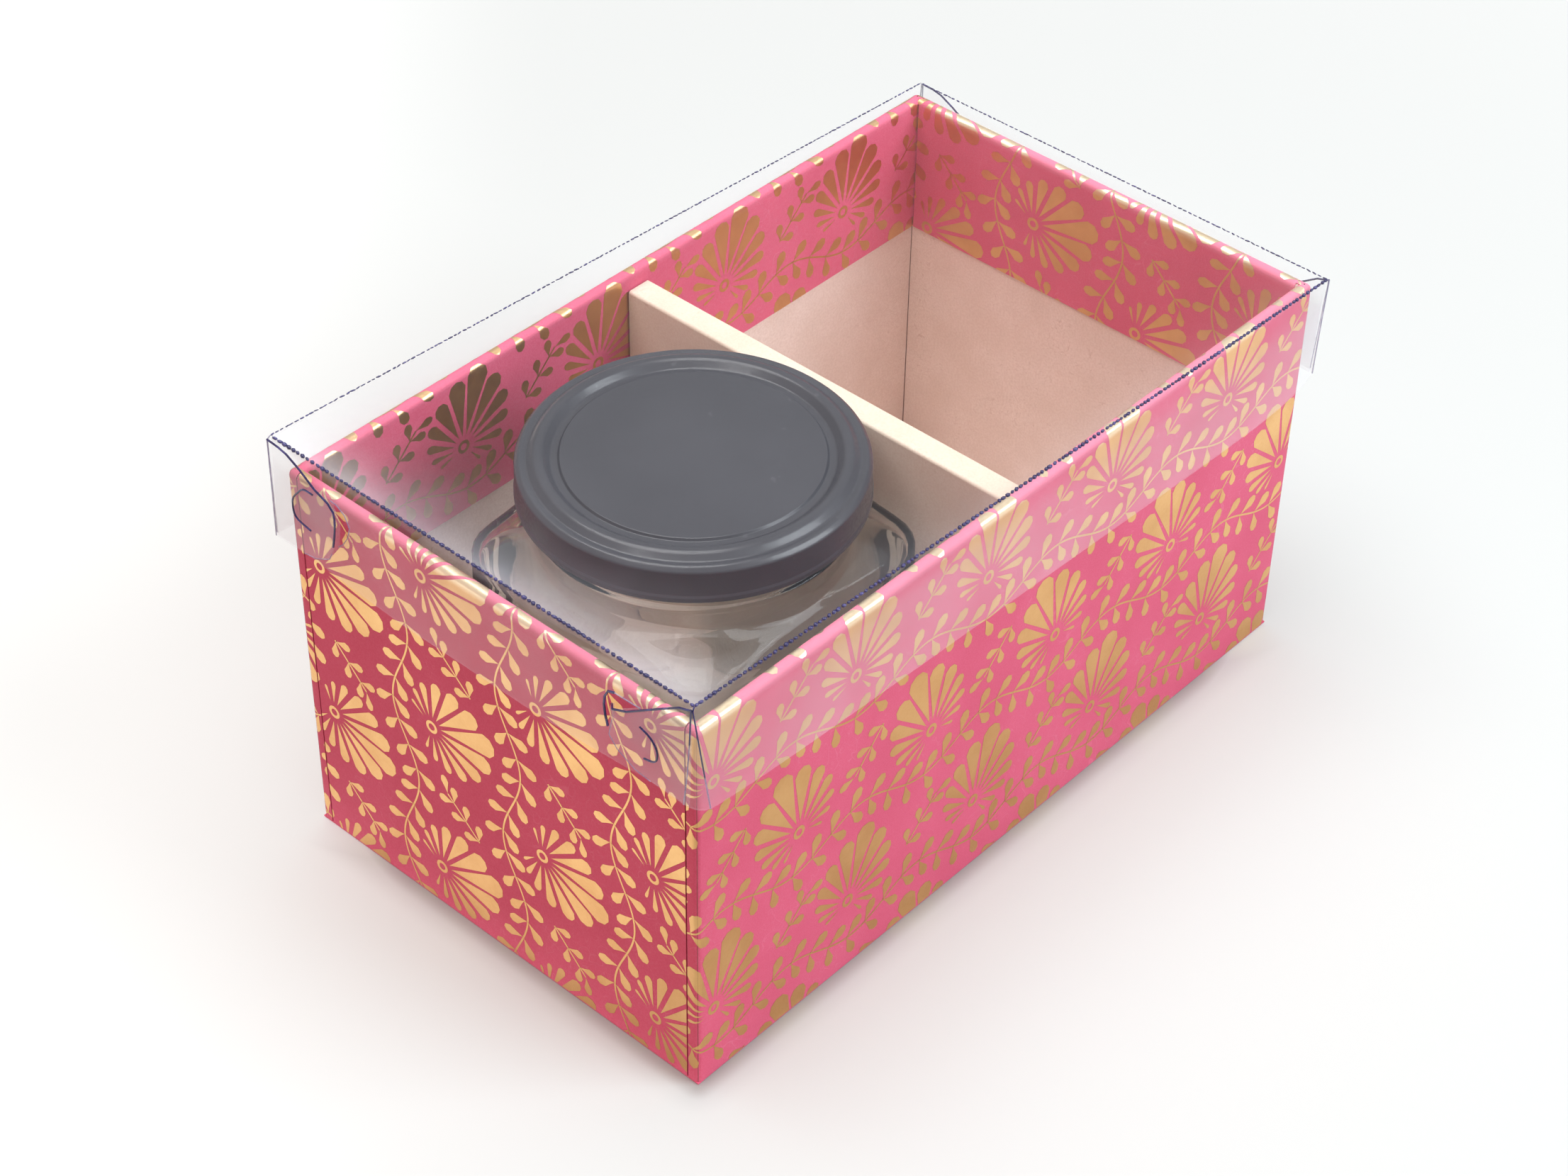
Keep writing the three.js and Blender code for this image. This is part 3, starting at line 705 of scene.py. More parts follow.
def steps_across(low, high, start, overhang, step):
    """Which whole steps from `start` may reach into a stretch from `low` to `high`."""
    return range(math.floor((low - start - overhang) / step), math.ceil((high - start + overhang) / step))


def printed_sheet(low, high):
    """The print as a flat bmesh, in sheet measures, wherever it may touch the rectangle."""
    bm = bmesh.new()
    for row in steps_across(low[1], high[1], FIRST_ROW, ROW_OVERHANG, ROW):
        mirrored = row % 2
        start = FIRST_RUN + HALF_DROP * mirrored
        for column in steps_across(low[0], high[0], start, RUN_OVERHANG, REPEAT):
            before = len(bm.verts)
            bm.from_mesh(repeats[mirrored])
            bm.verts.ensure_lookup_table()
            shift = Vector((start + column * REPEAT, FIRST_ROW + row * ROW, 0))
            bmesh.ops.translate(bm, vec=shift, verts=bm.verts[before:])
    return bm


def foil_finish():
    finish, tree, surface = new_finish("gold_foil", Metallic=1.0)
    cloud, grain = noise(tree, 90, 3), noise(tree, 1500, 2)
    colour = mix_colours(ramp_between(cloud, *MIDDLE), tint(219, 167, 107), tint(231, 183, 121))
    # painted highlight: the foil turns cream on the rim, where it catches the light from above
    set_inputs(
        surface, Base_Color=mix_colours(rim_stretch_and_highlight(tree, FOIL_RIM_HIGHLIGHT), colour, tint(255, 238, 205)),
        Roughness=ramp_between(grain, *MIDDLE, 0.3, 0.42), Normal=bumped(grain, 0.05, 0.0001),
    )
    return finish


# %% [markdown]
# The sheet's own measures are world X, and away from the front for its second measure. Turned by a side's
# quarter turns its rows lie along that side's run, and the side's bottom edge is as far off as the side
# stands.

# %% Foil sides
gold_foil = foil_finish()
FOIL_LIFT = 0.03
for name, side in SIDES.items():
    turn = Matrix.Rotation(side.turns * QUARTER_TURN, 3, "Z")
    foot = Vector((0, -side.half_out, 0))
    flat_corners = [Vector((run, climb, 0)) for run in (-side.end, side.end) for climb in (0, climb_hem)]
    corners = [turn.inverted() @ (corner - foot) for corner in flat_corners]
    low, high = ([pick(corner[axis] for corner in corners) for axis in (0, 1)] for pick in (min, max))
    bm = printed_sheet(low, high)
    bmesh.ops.rotate(bm, matrix=turn, verts=bm.verts)
    bmesh.ops.translate(bm, vec=foot, verts=bm.verts)
    cut_to_side(bm, side)
    fold_side(bm, side, FOIL_LIFT)
    make_piece(f"{name}_foil", bm, gold_foil, "tray")

# %% [markdown]
# The same sheet covers the underside, where it is simply flat, and the print runs on across it.

# %% Base paper
BASE_LIFT, BASE_EDGE = 0.05, 0.3
bm = flat_sheet(12, 8, HALF_LENGTH, HALF_WIDTH, (0, 0, BASE_LIFT))
bmesh.ops.reverse_faces(bm, faces=bm.faces[:])
bmesh.ops.solidify(bm, geom=bm.faces[:], thickness=PAPER)
make_piece("base_paper", bm, pink_paper, "tray", ["base_cover_paper"])
bm = printed_sheet((-HALF_LENGTH, -HALF_WIDTH), (HALF_LENGTH, HALF_WIDTH))
for cut, half in ((cut_run, HALF_LENGTH), (cut_climb, HALF_WIDTH)):
    cut(bm, half - BASE_EDGE, clear_outer=True)
    cut(bm, BASE_EDGE - half, clear_inner=True)
bmesh.ops.scale(bm, vec=(1, -1, 1), verts=bm.verts)
bmesh.ops.translate(bm, vec=(0, 0, BASE_LIFT - FOIL_LIFT), verts=bm.verts)
make_piece("base_foil", bm, gold_foil, "tray")

# %% [markdown]
# Where two boards butt together inside the box a dark hairline shows, because the joint is never quite
# closed and the tape behind it is brown. Each is a fine round cord of shadow pressed into its corner.

# %% Board joints
JOINT_FOOT, JOINT_TOP = 0.18, 0.12
floor_top = box_mm("floor_board")[1].z
inner_y = box_mm("back_wall_board")[0].y
inner_x = box_mm("right_wall_board")[0].x
bm = bmesh.new()
for x in (-inner_x, inner_x):
    for y in (-inner_y, inner_y):
        bmesh.ops.create_cone(
            bm, cap_ends=True, segments=8, radius1=JOINT_FOOT, radius2=JOINT_TOP,
            depth=HEM_HEIGHT - floor_top, matrix=Matrix.Translation((x, y, (floor_top + HEM_HEIGHT) / 2)),
        )
make_piece("board_joints", bm, kraft_tape, "tray")


# %% [markdown]
# The divider is one cream card, folded twice to an upside-down U that stands across the box. Card cracks
# a little round a fold instead of turning sharply, so the two upper edges are bevelled, and the cut ends
# are left crisp.

# %% Divider
DIVIDER_CARD, DIVIDER_FOLD = 1.2, 0.7
low, high = box_mm("divider")
bm = bmesh.new()
bmesh.ops.create_cube(bm, size=1)
bmesh.ops.scale(bm, vec=high - low, verts=bm.verts)
bmesh.ops.translate(bm, vec=(low + high) / 2, verts=bm.verts)
open_faces = [face for face in bm.faces if face.normal.z < -0.5 or abs(face.normal.y) > 0.5]
bmesh.ops.delete(bm, geom=open_faces, context="FACES_ONLY")
folds = [edge for edge in bm.edges if len(edge.link_faces) == 2]
bmesh.ops.bevel(
    bm, geom=folds, offset=DIVIDER_FOLD, offset_type="OFFSET", affect="EDGES", segments=5, profile=0.5,
    material=-1,
)
thicken(bm, DIVIDER_CARD, UP)
make_piece("folded_divider", bm, cream_card, "tray", ["divider"])


# %% [markdown]
# The jar and its cap are turned shapes. A line is drawn from the middle outwards and spun once round. A
# corner on such a line is never sharp in glass or pressed metal, so a helper rounds each corner of the
# line first.

# %% Rounded lines and turned shapes
MOST_ROOM, TURN_STEPS = 0.49, 96


def ease(value):
    """From 0 to 1 with a soft start and a soft end."""
    share = min(max(value, 0), 1)
    return share * share * (3 - 2 * share)


def rounded_line(points, steps):
    """Points given as (x, y, radius): each inner corner becomes an arc of about that radius."""
    line = [Vector(points[0][:2])]
    for before, here, after in zip(points, points[1:], points[2:]):
        middle = Vector(here[:2])
        back, ahead = Vector(before[:2]) - middle, Vector(after[:2]) - middle
        spread = back.angle(ahead)
        room = min(here[2] / math.tan(spread / 2), back.length * MOST_ROOM, ahead.length * MOST_ROOM)
        start, end = middle + back.normalized() * room, middle + ahead.normalized() * room
        for step in range(steps + 1):
            share = step / steps
            line.append(start * (1 - share) ** 2 + middle * 2 * share * (1 - share) + end * share ** 2)
    line.append(Vector(points[-1][:2]))
    return line


def turn_line(bm, line):
    """Spin a line of (radius, height) points once round the upright axis."""
    verts = [bm.verts.new((max(point.x, 0), 0, point.y)) for point in line]
    edges = [bm.edges.new(pair) for pair in zip(verts, verts[1:])]
    bmesh.ops.spin(
        bm, geom=verts + edges, axis=UP, cent=(0, 0, 0), angle=2 * math.pi, steps=TURN_STEPS, use_merge=True,
    )
    bmesh.ops.remove_doubles(bm, verts=bm.verts, dist=0.001)
    bmesh.ops.recalc_face_normals(bm, faces=bm.faces)


# %% [markdown]
# The jar is pressed from clear glass: a square body with round corners, a domed shoulder and a round neck
# with a bead under the cap. It is turned round first, and then each point of the body is pushed out to
# the square. Glass needs its inner wall as well, because what bends light is the wall's two faces.

# %% Jar
jar_foot = box_mm("jar_base")[0].z
wall_low, wall_high = box_mm("jar_glass")
jar_middle = Vector(((wall_low.x + wall_high.x) / 2, (wall_low.y + wall_high.y) / 2, jar_foot))
HALF_JAR = (wall_high.x - wall_low.x) / 2
JAR_HEIGHT = wall_high.z - jar_foot
JAR_CORNER, GLASS_WALL, GLASS_FLOOR = 12, 3, 5
BODY_TOP, NECK_FOOT, NECK_RADIUS, NECK_WALL = 74, 83, HALF_JAR - 4.1, 3
BEAD = NECK_FOOT + 4
outside_line = rounded_line([
    (0, 0.9, 0), (26, 0.9, 6), (30, 0, 2), (HALF_JAR, 0, 4.5), (HALF_JAR, BODY_TOP + 4.5, 6),
    (NECK_RADIUS, NECK_FOOT - 1.5, 4), (NECK_RADIUS, BEAD - 1, 0.7), (NECK_RADIUS + 0.9, BEAD - 0.4, 0.7),
    (NECK_RADIUS + 0.9, BEAD + 0.7, 0.7), (NECK_RADIUS, BEAD + 1.3, 0.7), (NECK_RADIUS, JAR_HEIGHT, 1),
    (NECK_RADIUS - NECK_WALL / 2, JAR_HEIGHT, 0),
], 10)
inside_line = rounded_line([
    (NECK_RADIUS - NECK_WALL / 2, JAR_HEIGHT, 0), (NECK_RADIUS - NECK_WALL, JAR_HEIGHT, 1),
    (NECK_RADIUS - NECK_WALL, NECK_FOOT - 4.5, 4), (HALF_JAR - GLASS_WALL, BODY_TOP + 1, 6),
    (HALF_JAR - GLASS_WALL, GLASS_FLOOR, 5), (20, GLASS_FLOOR, 4), (0, GLASS_FLOOR + 0.6, 0),
], 10)


def square_reach(angle, half_side, corner):
    """How far a square with round corners reaches in the direction of an angle."""
    folded = abs(angle - QUARTER_TURN * round(angle / QUARTER_TURN))
    straight = half_side - corner
    if math.tan(folded) * half_side <= straight:
        return half_side / math.cos(folded)
    along = straight * (math.cos(folded) + math.sin(folded))
    return along + math.sqrt(along * along - 2 * straight * straight + corner * corner)


def press_square(bm):
    """Push the turned body out to the square, less and less up the shoulder."""
    for vert in bm.verts:
        radius = math.hypot(vert.co.x, vert.co.y)
        if radius < 0.01:
            continue
        share = 1 - ease((vert.co.z - BODY_TOP) / (NECK_FOOT - BODY_TOP))
        corner = max(JAR_CORNER - (HALF_JAR - radius), 0)
        reach = square_reach(math.atan2(vert.co.y, vert.co.x), radius, corner)
        vert.co.xy *= (radius + share * (reach - radius)) / radius


def glass_finish():
    finish, tree, surface = new_finish(
        "jar_glass", Base_Color=(0.935, 0.915, 0.88, 1), IOR=1.3, Transmission_Weight=1.0,
        Specular_IOR_Level=0.25,
    )
    ripple, smear = noise(tree, 45, 2), noise(tree, 160, 4)
    roughness = ramp_between(smear, 0.5, 0.8, 0, 0.06)
    set_inputs(surface, Roughness=roughness, Normal=bumped(ripple, 0.25, 0.0006))
    clear = set_inputs(put(tree, "ShaderNodeBsdfTransparent"), Color=(0.94, 0.95, 0.94, 1))
    choose = put(tree, "ShaderNodeMixShader")
    in_shadow = put(tree, "ShaderNodeLightPath").outputs["Is Shadow Ray"]
    for socket, value in zip(choose.inputs, (in_shadow, surface.outputs[0], clear.outputs[0])):
        plug(value, socket)
    plug(choose.outputs[0], tree.nodes["Material Output"].inputs["Surface"])
    return finish


bm = bmesh.new()
turn_line(bm, outside_line + inside_line[1:])
press_square(bm)
bmesh.ops.translate(bm, vec=jar_middle, verts=bm.verts)
make_piece("clear_jar", bm, glass_finish(), "jar", ["jar_base", "jar_glass"], 60)

# %% [markdown]
# The cap is pressed from thin steel and lacquered slate grey: a flat panel, a shallow moat, a ridge over
# the jar's lip, a rounded shoulder, a skirt and a rolled lower edge, with four lugs inside. The lacquer
# has a faint orange-peel grain and a few pale specks, under a thin clear coat.

# %% Cap
cap_low, cap_high = box_mm("jar_cap")
cap_middle = Vector((jar_middle.x, jar_middle.y, cap_high.z))
CAP_SHEET = 0.5
CAP_REACH = (cap_high.x - cap_low.x) / 2
CAP_HEIGHT = cap_high.z - cap_low.z
CAP_SKIRT = CAP_REACH - 0.35
PANEL, MOAT, RIDGE_IN, RIDGE_OUT = 27.6, 29.5, 31.2, 32.9
cap_outside = [
    (0, -0.9, 0), (PANEL, -0.9, 0.3), (PANEL + 0.4, -1.5, 0.3), (MOAT, -1.6, 0.9), (RIDGE_IN, 0, 1.5),
    (RIDGE_OUT, 0, 1.7), (RIDGE_OUT + 1.6, -1.45, 0.7), (CAP_SKIRT - 1.1, -1.1, 0.9), (CAP_SKIRT, -2.2, 1),
    (CAP_SKIRT, 2 - CAP_HEIGHT, 0.5), (CAP_REACH - 0.1, 1.4 - CAP_HEIGHT, 0.5),
    (CAP_REACH - 0.1, 0.4 - CAP_HEIGHT, 0.4), (CAP_REACH - 0.5, -CAP_HEIGHT, 0.2),
]
cap_inside = [
    (CAP_REACH - 1.0, -CAP_HEIGHT, 0.2), (CAP_REACH - 1.0, -2.9, 1), (CAP_SKIRT - 1.4, -1.65, 0.6),
    (RIDGE_OUT + 1.4, -2, 0.6), (RIDGE_OUT - 0.2, -CAP_SHEET, 0.5), (RIDGE_IN + 0.3, -CAP_SHEET, 0.5),
    (MOAT + 0.2, -2.1, 0.5), (PANEL + 0.2, -2.1, 0.3), (PANEL - 0.4, -1.4, 0.3), (0, -1.4, 0),
]


def lacquer_finish():
    finish, tree, surface = new_finish(
        "slate_lacquer", Metallic=0.0, Specular_IOR_Level=0.4, Coat_Weight=0.4, Coat_Roughness=0.15,
    )
    grain, cloud, speck = noise(tree, 1700, 2), noise(tree, 35, 4), noise(tree, 420, 1)
    base = mix_colours(ramp_between(cloud, *MIDDLE), tint(51, 52, 59), tint(57, 58, 65))
    pale = ramp_between(speck, 0.74, 0.8, 0, 0.25)
    set_inputs(
        surface, Base_Color=mix_colours(pale, base, tint(96, 96, 100)),
        Roughness=ramp_between(grain, *MIDDLE, 0.34, 0.46), Normal=bumped(grain, 0.1, 0.0001),
    )
    return finish


def ring_block(bm, inner, outer, low, high, middle, arc):
    """A lug: a small upright panel spun through a short arc."""
    corners = [(inner, low), (outer, low), (outer, high), (inner, high)]
    start = middle - arc / 2
    verts = [bm.verts.new((r * math.cos(start), r * math.sin(start), z)) for r, z in corners]
    panel = bm.faces.new(verts)
    bmesh.ops.spin(bm, geom=[panel, *panel.edges, *panel.verts], axis=UP, cent=(0, 0, 0), angle=arc, steps=5)


LUGS, LUG_ARC, LUG_FOOT, LUG_TOP = 4, math.radians(14), 0.2, 1.3
LUG_IN, LUG_OUT = NECK_RADIUS + 0.4, CAP_REACH - 0.9
bm = bmesh.new()
for count in range(LUGS):
    middle = math.pi / 4 + count * 2 * math.pi / LUGS
    ring_block(bm, LUG_IN, LUG_OUT, LUG_FOOT - CAP_HEIGHT, LUG_TOP - CAP_HEIGHT, middle, LUG_ARC)
bmesh.ops.recalc_face_normals(bm, faces=bm.faces)
turn_line(bm, rounded_line(cap_outside, 5) + rounded_line([cap_outside[-1], *cap_inside], 4)[1:])
bmesh.ops.translate(bm, vec=cap_middle, verts=bm.verts)
make_piece("lacquered_cap", bm, lacquer_finish(), "cap", ["jar_cap"], 50)

# %% [markdown]
# Inside the cap a ring of sealing compound sits in the ridge. It is hidden while the cap is on, so the
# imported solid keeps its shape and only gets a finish: pale, soft and slightly uneven.

# %% Sealing ring
liner_finish = fibrous_finish(
    "sealing_compound", tint(232, 228, 214), tint(218, 212, 196), tint(240, 238, 230), 0.6, (120, 400, 900),
    0.2,
)
dress("cap_liner", liner_finish)
print("finish on cap_liner:", liner_finish.name)

# %% [markdown]
# The lid is one sheet of clear plastic, cut as a cross and creased so that four skirts fold down. It
# leans a little, because the jar stands taller than the box. So it is drawn level round its own middle,
# flat first, then folded along its creases, and at the end laid onto the jar and the rim.

# %% Where the lid lies
LID_SHEET, LID_FOLD, SKIRT_DEPTH = 0.4, 0.6, 25
BOW_OUT, BELLY_OUT, SHEET_WRAP, WRAP = 3.9, 2.1, 0.5, 7
CORNERS = {"front_left": (-1, -1), "front_right": (1, -1), "back_right": (1, 1), "back_left": (-1, 1)}
top_node = nodes["lid_top"]
lid_corners = [top_node.matrix_world @ vert.co / MM for vert in top_node.data.vertices]
lid_middle = sum(lid_corners, Vector()) / len(lid_corners)
right_end = [corner for corner in lid_corners if corner.x > lid_middle.x]
left_end = [corner for corner in lid_corners if corner.x < lid_middle.x]
lid_length = sum(right_end, Vector()) / len(right_end) - sum(left_end, Vector()) / len(left_end)
lid_along = lid_length.normalized()
lid_up = lid_along.cross(Vector((0, 1, 0)))
lid_place = stand(lid_middle - lid_up * LID_SHEET / 2, lid_along, (0, 1, 0), lid_up)
HALF_LID = lid_length.length / 2
HALF_LID_WIDE = max(corner.y for corner in lid_corners)
TONGUE_OVER = 0.7
TONGUE_FACE = HALF_LID + TONGUE_OVER
print(f"lid leans {math.degrees(math.atan2(-lid_along.z, lid_along.x)):.2f} degrees")

# %% [markdown]
# Clear plastic shows by three things. The first is a thin bluish veil, partly the sheet's own haze and partly
# a painted reflection of the white room round it; it is uneven at random and stronger down the skirts, and it
# is thicker along the left end and the front edge of the top, where it is painted reflection. The second is a
# mirror-like skin that grows at a glance, painted as a whiter film. The third is its cut edges and creases,
# which look dark blue because light runs along inside the sheet. The veil is written on the mesh's points, so
# each fold keeps its own.

# %% Clear sheet and its edges
def clear_finish():
    finish, tree, surface = new_finish("clear_sheet", Base_Color=(0.9, 0.9, 0.99, 1), Specular_IOR_Level=0.6)
    veil = put(tree, "ShaderNodeAttribute", attribute_name="veil").outputs["Fac"]
    rub, streak = noise(tree, 38, 5), noise(tree, 260, 2, 1.5)
    glance = set_inputs(put(tree, "ShaderNodeLayerWeight"), Blend=0.5).outputs["Facing"]
    # painted reflection: the whitish veil thickens at a glance
    sheen = times(math_node("POWER", glance, 5.0), 0.4)
    alpha = plus(times(veil, ramp_between(rub, *MIDDLE, 0.75, 1.25)), sheen)
    set_inputs(
        surface, Alpha=math_node("MINIMUM", alpha, 0.8),
        Roughness=ramp_between(streak, 0.4, 0.7, 0.06, 0.2), Normal=bumped(rub, 0.15, 0.0004),
    )
    return finish


def edge_finish(name, dark, pale, alpha):
    finish, tree, surface = new_finish(name, Specular_IOR_Level=0.7, Roughness=0.22, Alpha=alpha)
    share = ramp_between(noise(tree, 300, 2), 0.45, 0.7)
    set_inputs(surface, Base_Color=mix_colours(share, dark, pale))
    return finish


clear_sheet = clear_finish()
cut_edge = edge_finish("sheet_edge", tint(38, 33, 92), tint(74, 70, 134), 0.9)
# painted highlight: pale threads along the bends where the sheet catches the light
bend_highlight = edge_finish("sheet_bend_highlight", tint(150, 152, 190), tint(200, 202, 226), 0.5)
print("clear finishes:", clear_sheet.name, cut_edge.name, bend_highlight.name)


# %% Draw flat and fold
LID_ARC, THREAD_SIDES = LID_FOLD * QUARTER_TURN, 5
ROUND_TOP, ROUND_NEAR, ROUND_ELSE = 0.2, 2.8, 0.9
HELD_POWER, HELD_LEFT, BELLY_REACH, BELLY_FROM = 8, 0.3, 50, HALF_LID - 0.1
# painted reflection: the veil on the top thickens along its left end and its front edge, over the reaches
# given here
VEIL_TOP, VEIL_LEFT_REFLECTION, VEIL_FRONT_REFLECTION, LEFT_REFLECTION_REACH, FRONT_REFLECTION_REACH = 0.006, 0.17, 0.03, 6.5, 6
TOP_DEPTH, VEIL_SKIRT, VEIL_LOW, LOW_FROM, LOW_OVER = 0.3, 0.03, 0.055, 3, 6


def edge_fold(reach, half):
    """How far out and how far down a point lies that is `reach` from the middle of the flat sheet."""
    ahead, down = bend_round(abs(reach) - (half - LID_FOLD), LID_FOLD)[:2]
    return math.copysign(half - LID_FOLD + ahead, reach), down


def flat_reach(half, depth):
    """Where a point `depth` below the lid's underside lies on the flat sheet."""
    return half - LID_FOLD + LID_ARC + LID_SHEET + depth - LID_FOLD


def fill_outline(bm, outline, *holes):
    """A flat face with holes, from lists of points."""
    for loop in (outline, *holes):
        verts = [bm.verts.new((*point, 0)) for point in loop]
        for one, two in zip(verts, verts[1:] + verts[:1]):
            bm.edges.new((one, two))
    bmesh.ops.triangle_fill(bm, use_beauty=True, use_dissolve=False, edges=bm.edges[:], normal=(0, 0, 1))


def corner_round(depth, corner):
    """An upright bend is tight at the top and opens towards the free edge, most at the corner in front."""
    return ROUND_TOP + (ROUND_NEAR if corner == CORNERS["front_left"] else ROUND_ELSE) * depth / SKIRT_DEPTH


def hang(point, wrap):
    """A soft sheet stands out a little: the front skirt bows off the box, and the short skirts belly."""
    low = max(-point.z, 0) / SKIRT_DEPTH
    held = (point.x / TONGUE_FACE) ** HELD_POWER * (HELD_LEFT if point.x < 0 else 1)
    out_y = BOW_OUT * (1 - held) * low * ease((-point.y - HALF_LID_WIDE + wrap) / wrap)
    out_x = BELLY_OUT * low * max(1 - (point.y / BELLY_REACH) ** 2, 0) if abs(point.x) > BELLY_FROM else 0
    return Vector((point.x + math.copysign(out_x, point.x), point.y - out_y, point.z))


def thread(bm, points, radius, finish_index):
    """A fine round line along a row of points, for cut edges and creases."""
    old = set(bm.faces)
    rings = []
    for index, point in enumerate(points):
        ahead = Vector(points[min(index + 1, len(points) - 1)]) - Vector(points[max(index - 1, 0)])
        place = Matrix.Translation(point) @ ahead.to_track_quat("Z", "X").to_matrix().to_4x4()
        ring = bmesh.ops.create_circle(bm, segments=THREAD_SIDES, radius=radius, matrix=place)["verts"]
        rings.append(list(dict.fromkeys(edge for vert in ring for edge in vert.link_edges)))
    for one, two in zip(rings, rings[1:]):
        bmesh.ops.bridge_loops(bm, edges=one + two)
    for face in set(bm.faces) - old:
        face.material_index = finish_index


def write_veil(bm):
    """Little veil on the top except along its left end and front edge, where a painted reflection thickens
    it, and more of it down the skirts.
    """
    layer = bm.verts.layers.float.new("veil")
    for vert in bm.verts:
        depth = -vert.co.z
        if depth < TOP_DEPTH:
            # painted reflection: more veil near the top's left end and front edge
            left = math.exp(-max(HALF_LID + vert.co.x, 0) / LEFT_REFLECTION_REACH)
            front = math.exp(-max(HALF_LID_WIDE + vert.co.y, 0) / FRONT_REFLECTION_REACH)
            vert[layer] = VEIL_TOP + VEIL_LEFT_REFLECTION * left + VEIL_FRONT_REFLECTION * front
        else:
            vert[layer] = VEIL_SKIRT + VEIL_LOW * ease((depth - LOW_FROM) / LOW_OVER)


# %% [markdown]
# The corners in front and the corners behind have locks of two shapes. Each is a set of points in
# millimetres: how far along from the corner, and how deep below the lid. There are the slit, the tongue's
# upper edge, its tip and the half-moon cut, whose third number rounds it. All four tongues share one
# foot.

# %% The two locks
TONGUE_FOOT = [(18.5, 20.9), (14, 23.4), (10, 24.3), (0, 24.8)]
FRONT_LOCK = {
    "slit": [
        (13.7, 8.5), (20.4, 8.5), (22, 9), (22.8, 10.6), (22.9, 12.6), (22.5, 15), (21.7, 17.4), (20.9, 17.4),
        (20.9, 13),
    ],
    "slit_line": 0.28,
    "top": [
        (0, 0.4), (3.2, 1.4), (8, 4.7), (13.7, 8.6), (16.5, 10.5), (20.1, 11.9), (21.6, 12.4), (22.3, 13.2),
    ],
    "tip": [(22.4, 14.6), (21.6, 16.4), (20.9, 18.7)],
    "moon": [(13.1, 12.2, 0), (10.4, 13.2, 6), (8.3, 15.6, 4), (8.6, 18.9, 3), (11.8, 19.4, 0)],
}
BACK_LOCK = {
    "slit": [
        (18.3, 6.5), (20.3, 6.6), (22.7, 7.9), (24.2, 10.3), (23.6, 13), (22, 15.6), (20.6, 16.9), (20.9, 11),
    ],
    "slit_line": 0.12,
    "top": [
        (0, 0.4), (3.5, 0.6), (6, 1.1), (9.8, 2.9), (14.4, 5.6), (18.3, 6.8), (20, 8.2), (20.4, 9.8),
        (20.4, 12), (20.2, 14.4), (19.8, 17),
    ],
    "tip": [(19.7, 17.4), (19.3, 19)],
    "moon": [(13.7, 7.2, 0), (10.6, 7.2, 4), (7, 11.5, 4), (7.2, 16.4, 3), (12.6, 17, 0)],
}


def lock_at(corner):
    return FRONT_LOCK if corner[1] < 0 else BACK_LOCK


print("lock points:", len(FRONT_LOCK["top"]), "in front and", len(BACK_LOCK["top"]), "behind")

# %% Lid sheet
SHORT_OF_CORNER, HORN_DEPTH = 0.7, 0.4
SCORES_INSIDE, SCORES_DOWN = (-40, -26, -17, -11, -6.5, -3, -1), (3, 6, 9, 12)
crease_x, crease_y = HALF_LID - LID_FOLD, HALF_LID_WIDE - LID_FOLD
edge_x, edge_y = flat_reach(HALF_LID, SKIRT_DEPTH), flat_reach(HALF_LID_WIDE, SKIRT_DEPTH)
short_end = HALF_LID_WIDE - SHORT_OF_CORNER
horn = flat_reach(HALF_LID_WIDE, HORN_DEPTH)


def net_corner(corner):
    """The sheet's cut at one corner, from the short skirt's free end to the long skirt's."""
    high, low = (TONGUE_FACE - corner_round(depth, corner) for depth in (HORN_DEPTH, SKIRT_DEPTH))
    cut = [
        (edge_x, short_end), (crease_x, short_end), (crease_x, crease_y), (crease_x, horn), (high, horn),
        (low, edge_y),
    ]
    return [(x * corner[0], y * corner[1]) for x, y in cut]


net = []
for name, way in (("back_right", 1), ("back_left", -1), ("front_left", 1), ("front_right", -1)):
    net += net_corner(CORNERS[name])[::way]
slits = []
for x, y in CORNERS.values():
    points = lock_at((x, y))["slit"]
    slits.append([(x * flat_reach(HALF_LID, depth), y * (HALF_LID_WIDE - along)) for along, depth in points])
bm = bmesh.new()
fill_outline(bm, net, *slits)
scores = [*SCORES_INSIDE, *(LID_ARC * share for share in ARC_SHARES), *SCORES_DOWN]
for cut, half in ((cut_run, crease_x), (cut_climb, crease_y)):
    for shift in scores:
        for side in (-1, 1):
            cut(bm, side * (half + shift))
for vert in bm.verts:
    x, drop_x = edge_fold(vert.co.x, HALF_LID)
    y, drop_y = edge_fold(vert.co.y, HALF_LID_WIDE)
    vert.co = hang(Vector((x, y, LID_SHEET - drop_x - drop_y)), SHEET_WRAP)
thicken(bm, LID_SHEET, UP)
write_veil(bm)
bm.transform(lid_place)
lid_nodes = ["lid_top", "lid_front_skirt", "lid_back_skirt", "lid_left_skirt", "lid_right_skirt"]
make_piece("lid_sheet", bm, clear_sheet, "lid", lid_nodes)

# %% [markdown]
# A crease is rolled with a toothed wheel, so it shows as a row of short uneven dashes. The cuts of the slits
# and the upright bends at the corners are fine threads, dark where the photograph shows them dark, and
# elsewhere pale, a painted highlight along the bend.

# %% Creases and cut edges of the lid
DASH_END, DASH_LEAN = 0.6, 0.25
DASH_LENGTHS, DASH_WIDTHS, DASH_GAPS = (0.5, 0.85), (0.75, 1.15), (0.5, 0.95)
CREASE_SIZES, SLIT_TOP, UPRIGHT_LINE, UPRIGHT_DEPTHS = {-1: 0.45, 1: 0.2}, 0.14, 0.16, (0.5, 9, 17, 24.9)
crease_random = random.Random(7)
bm = bmesh.new()


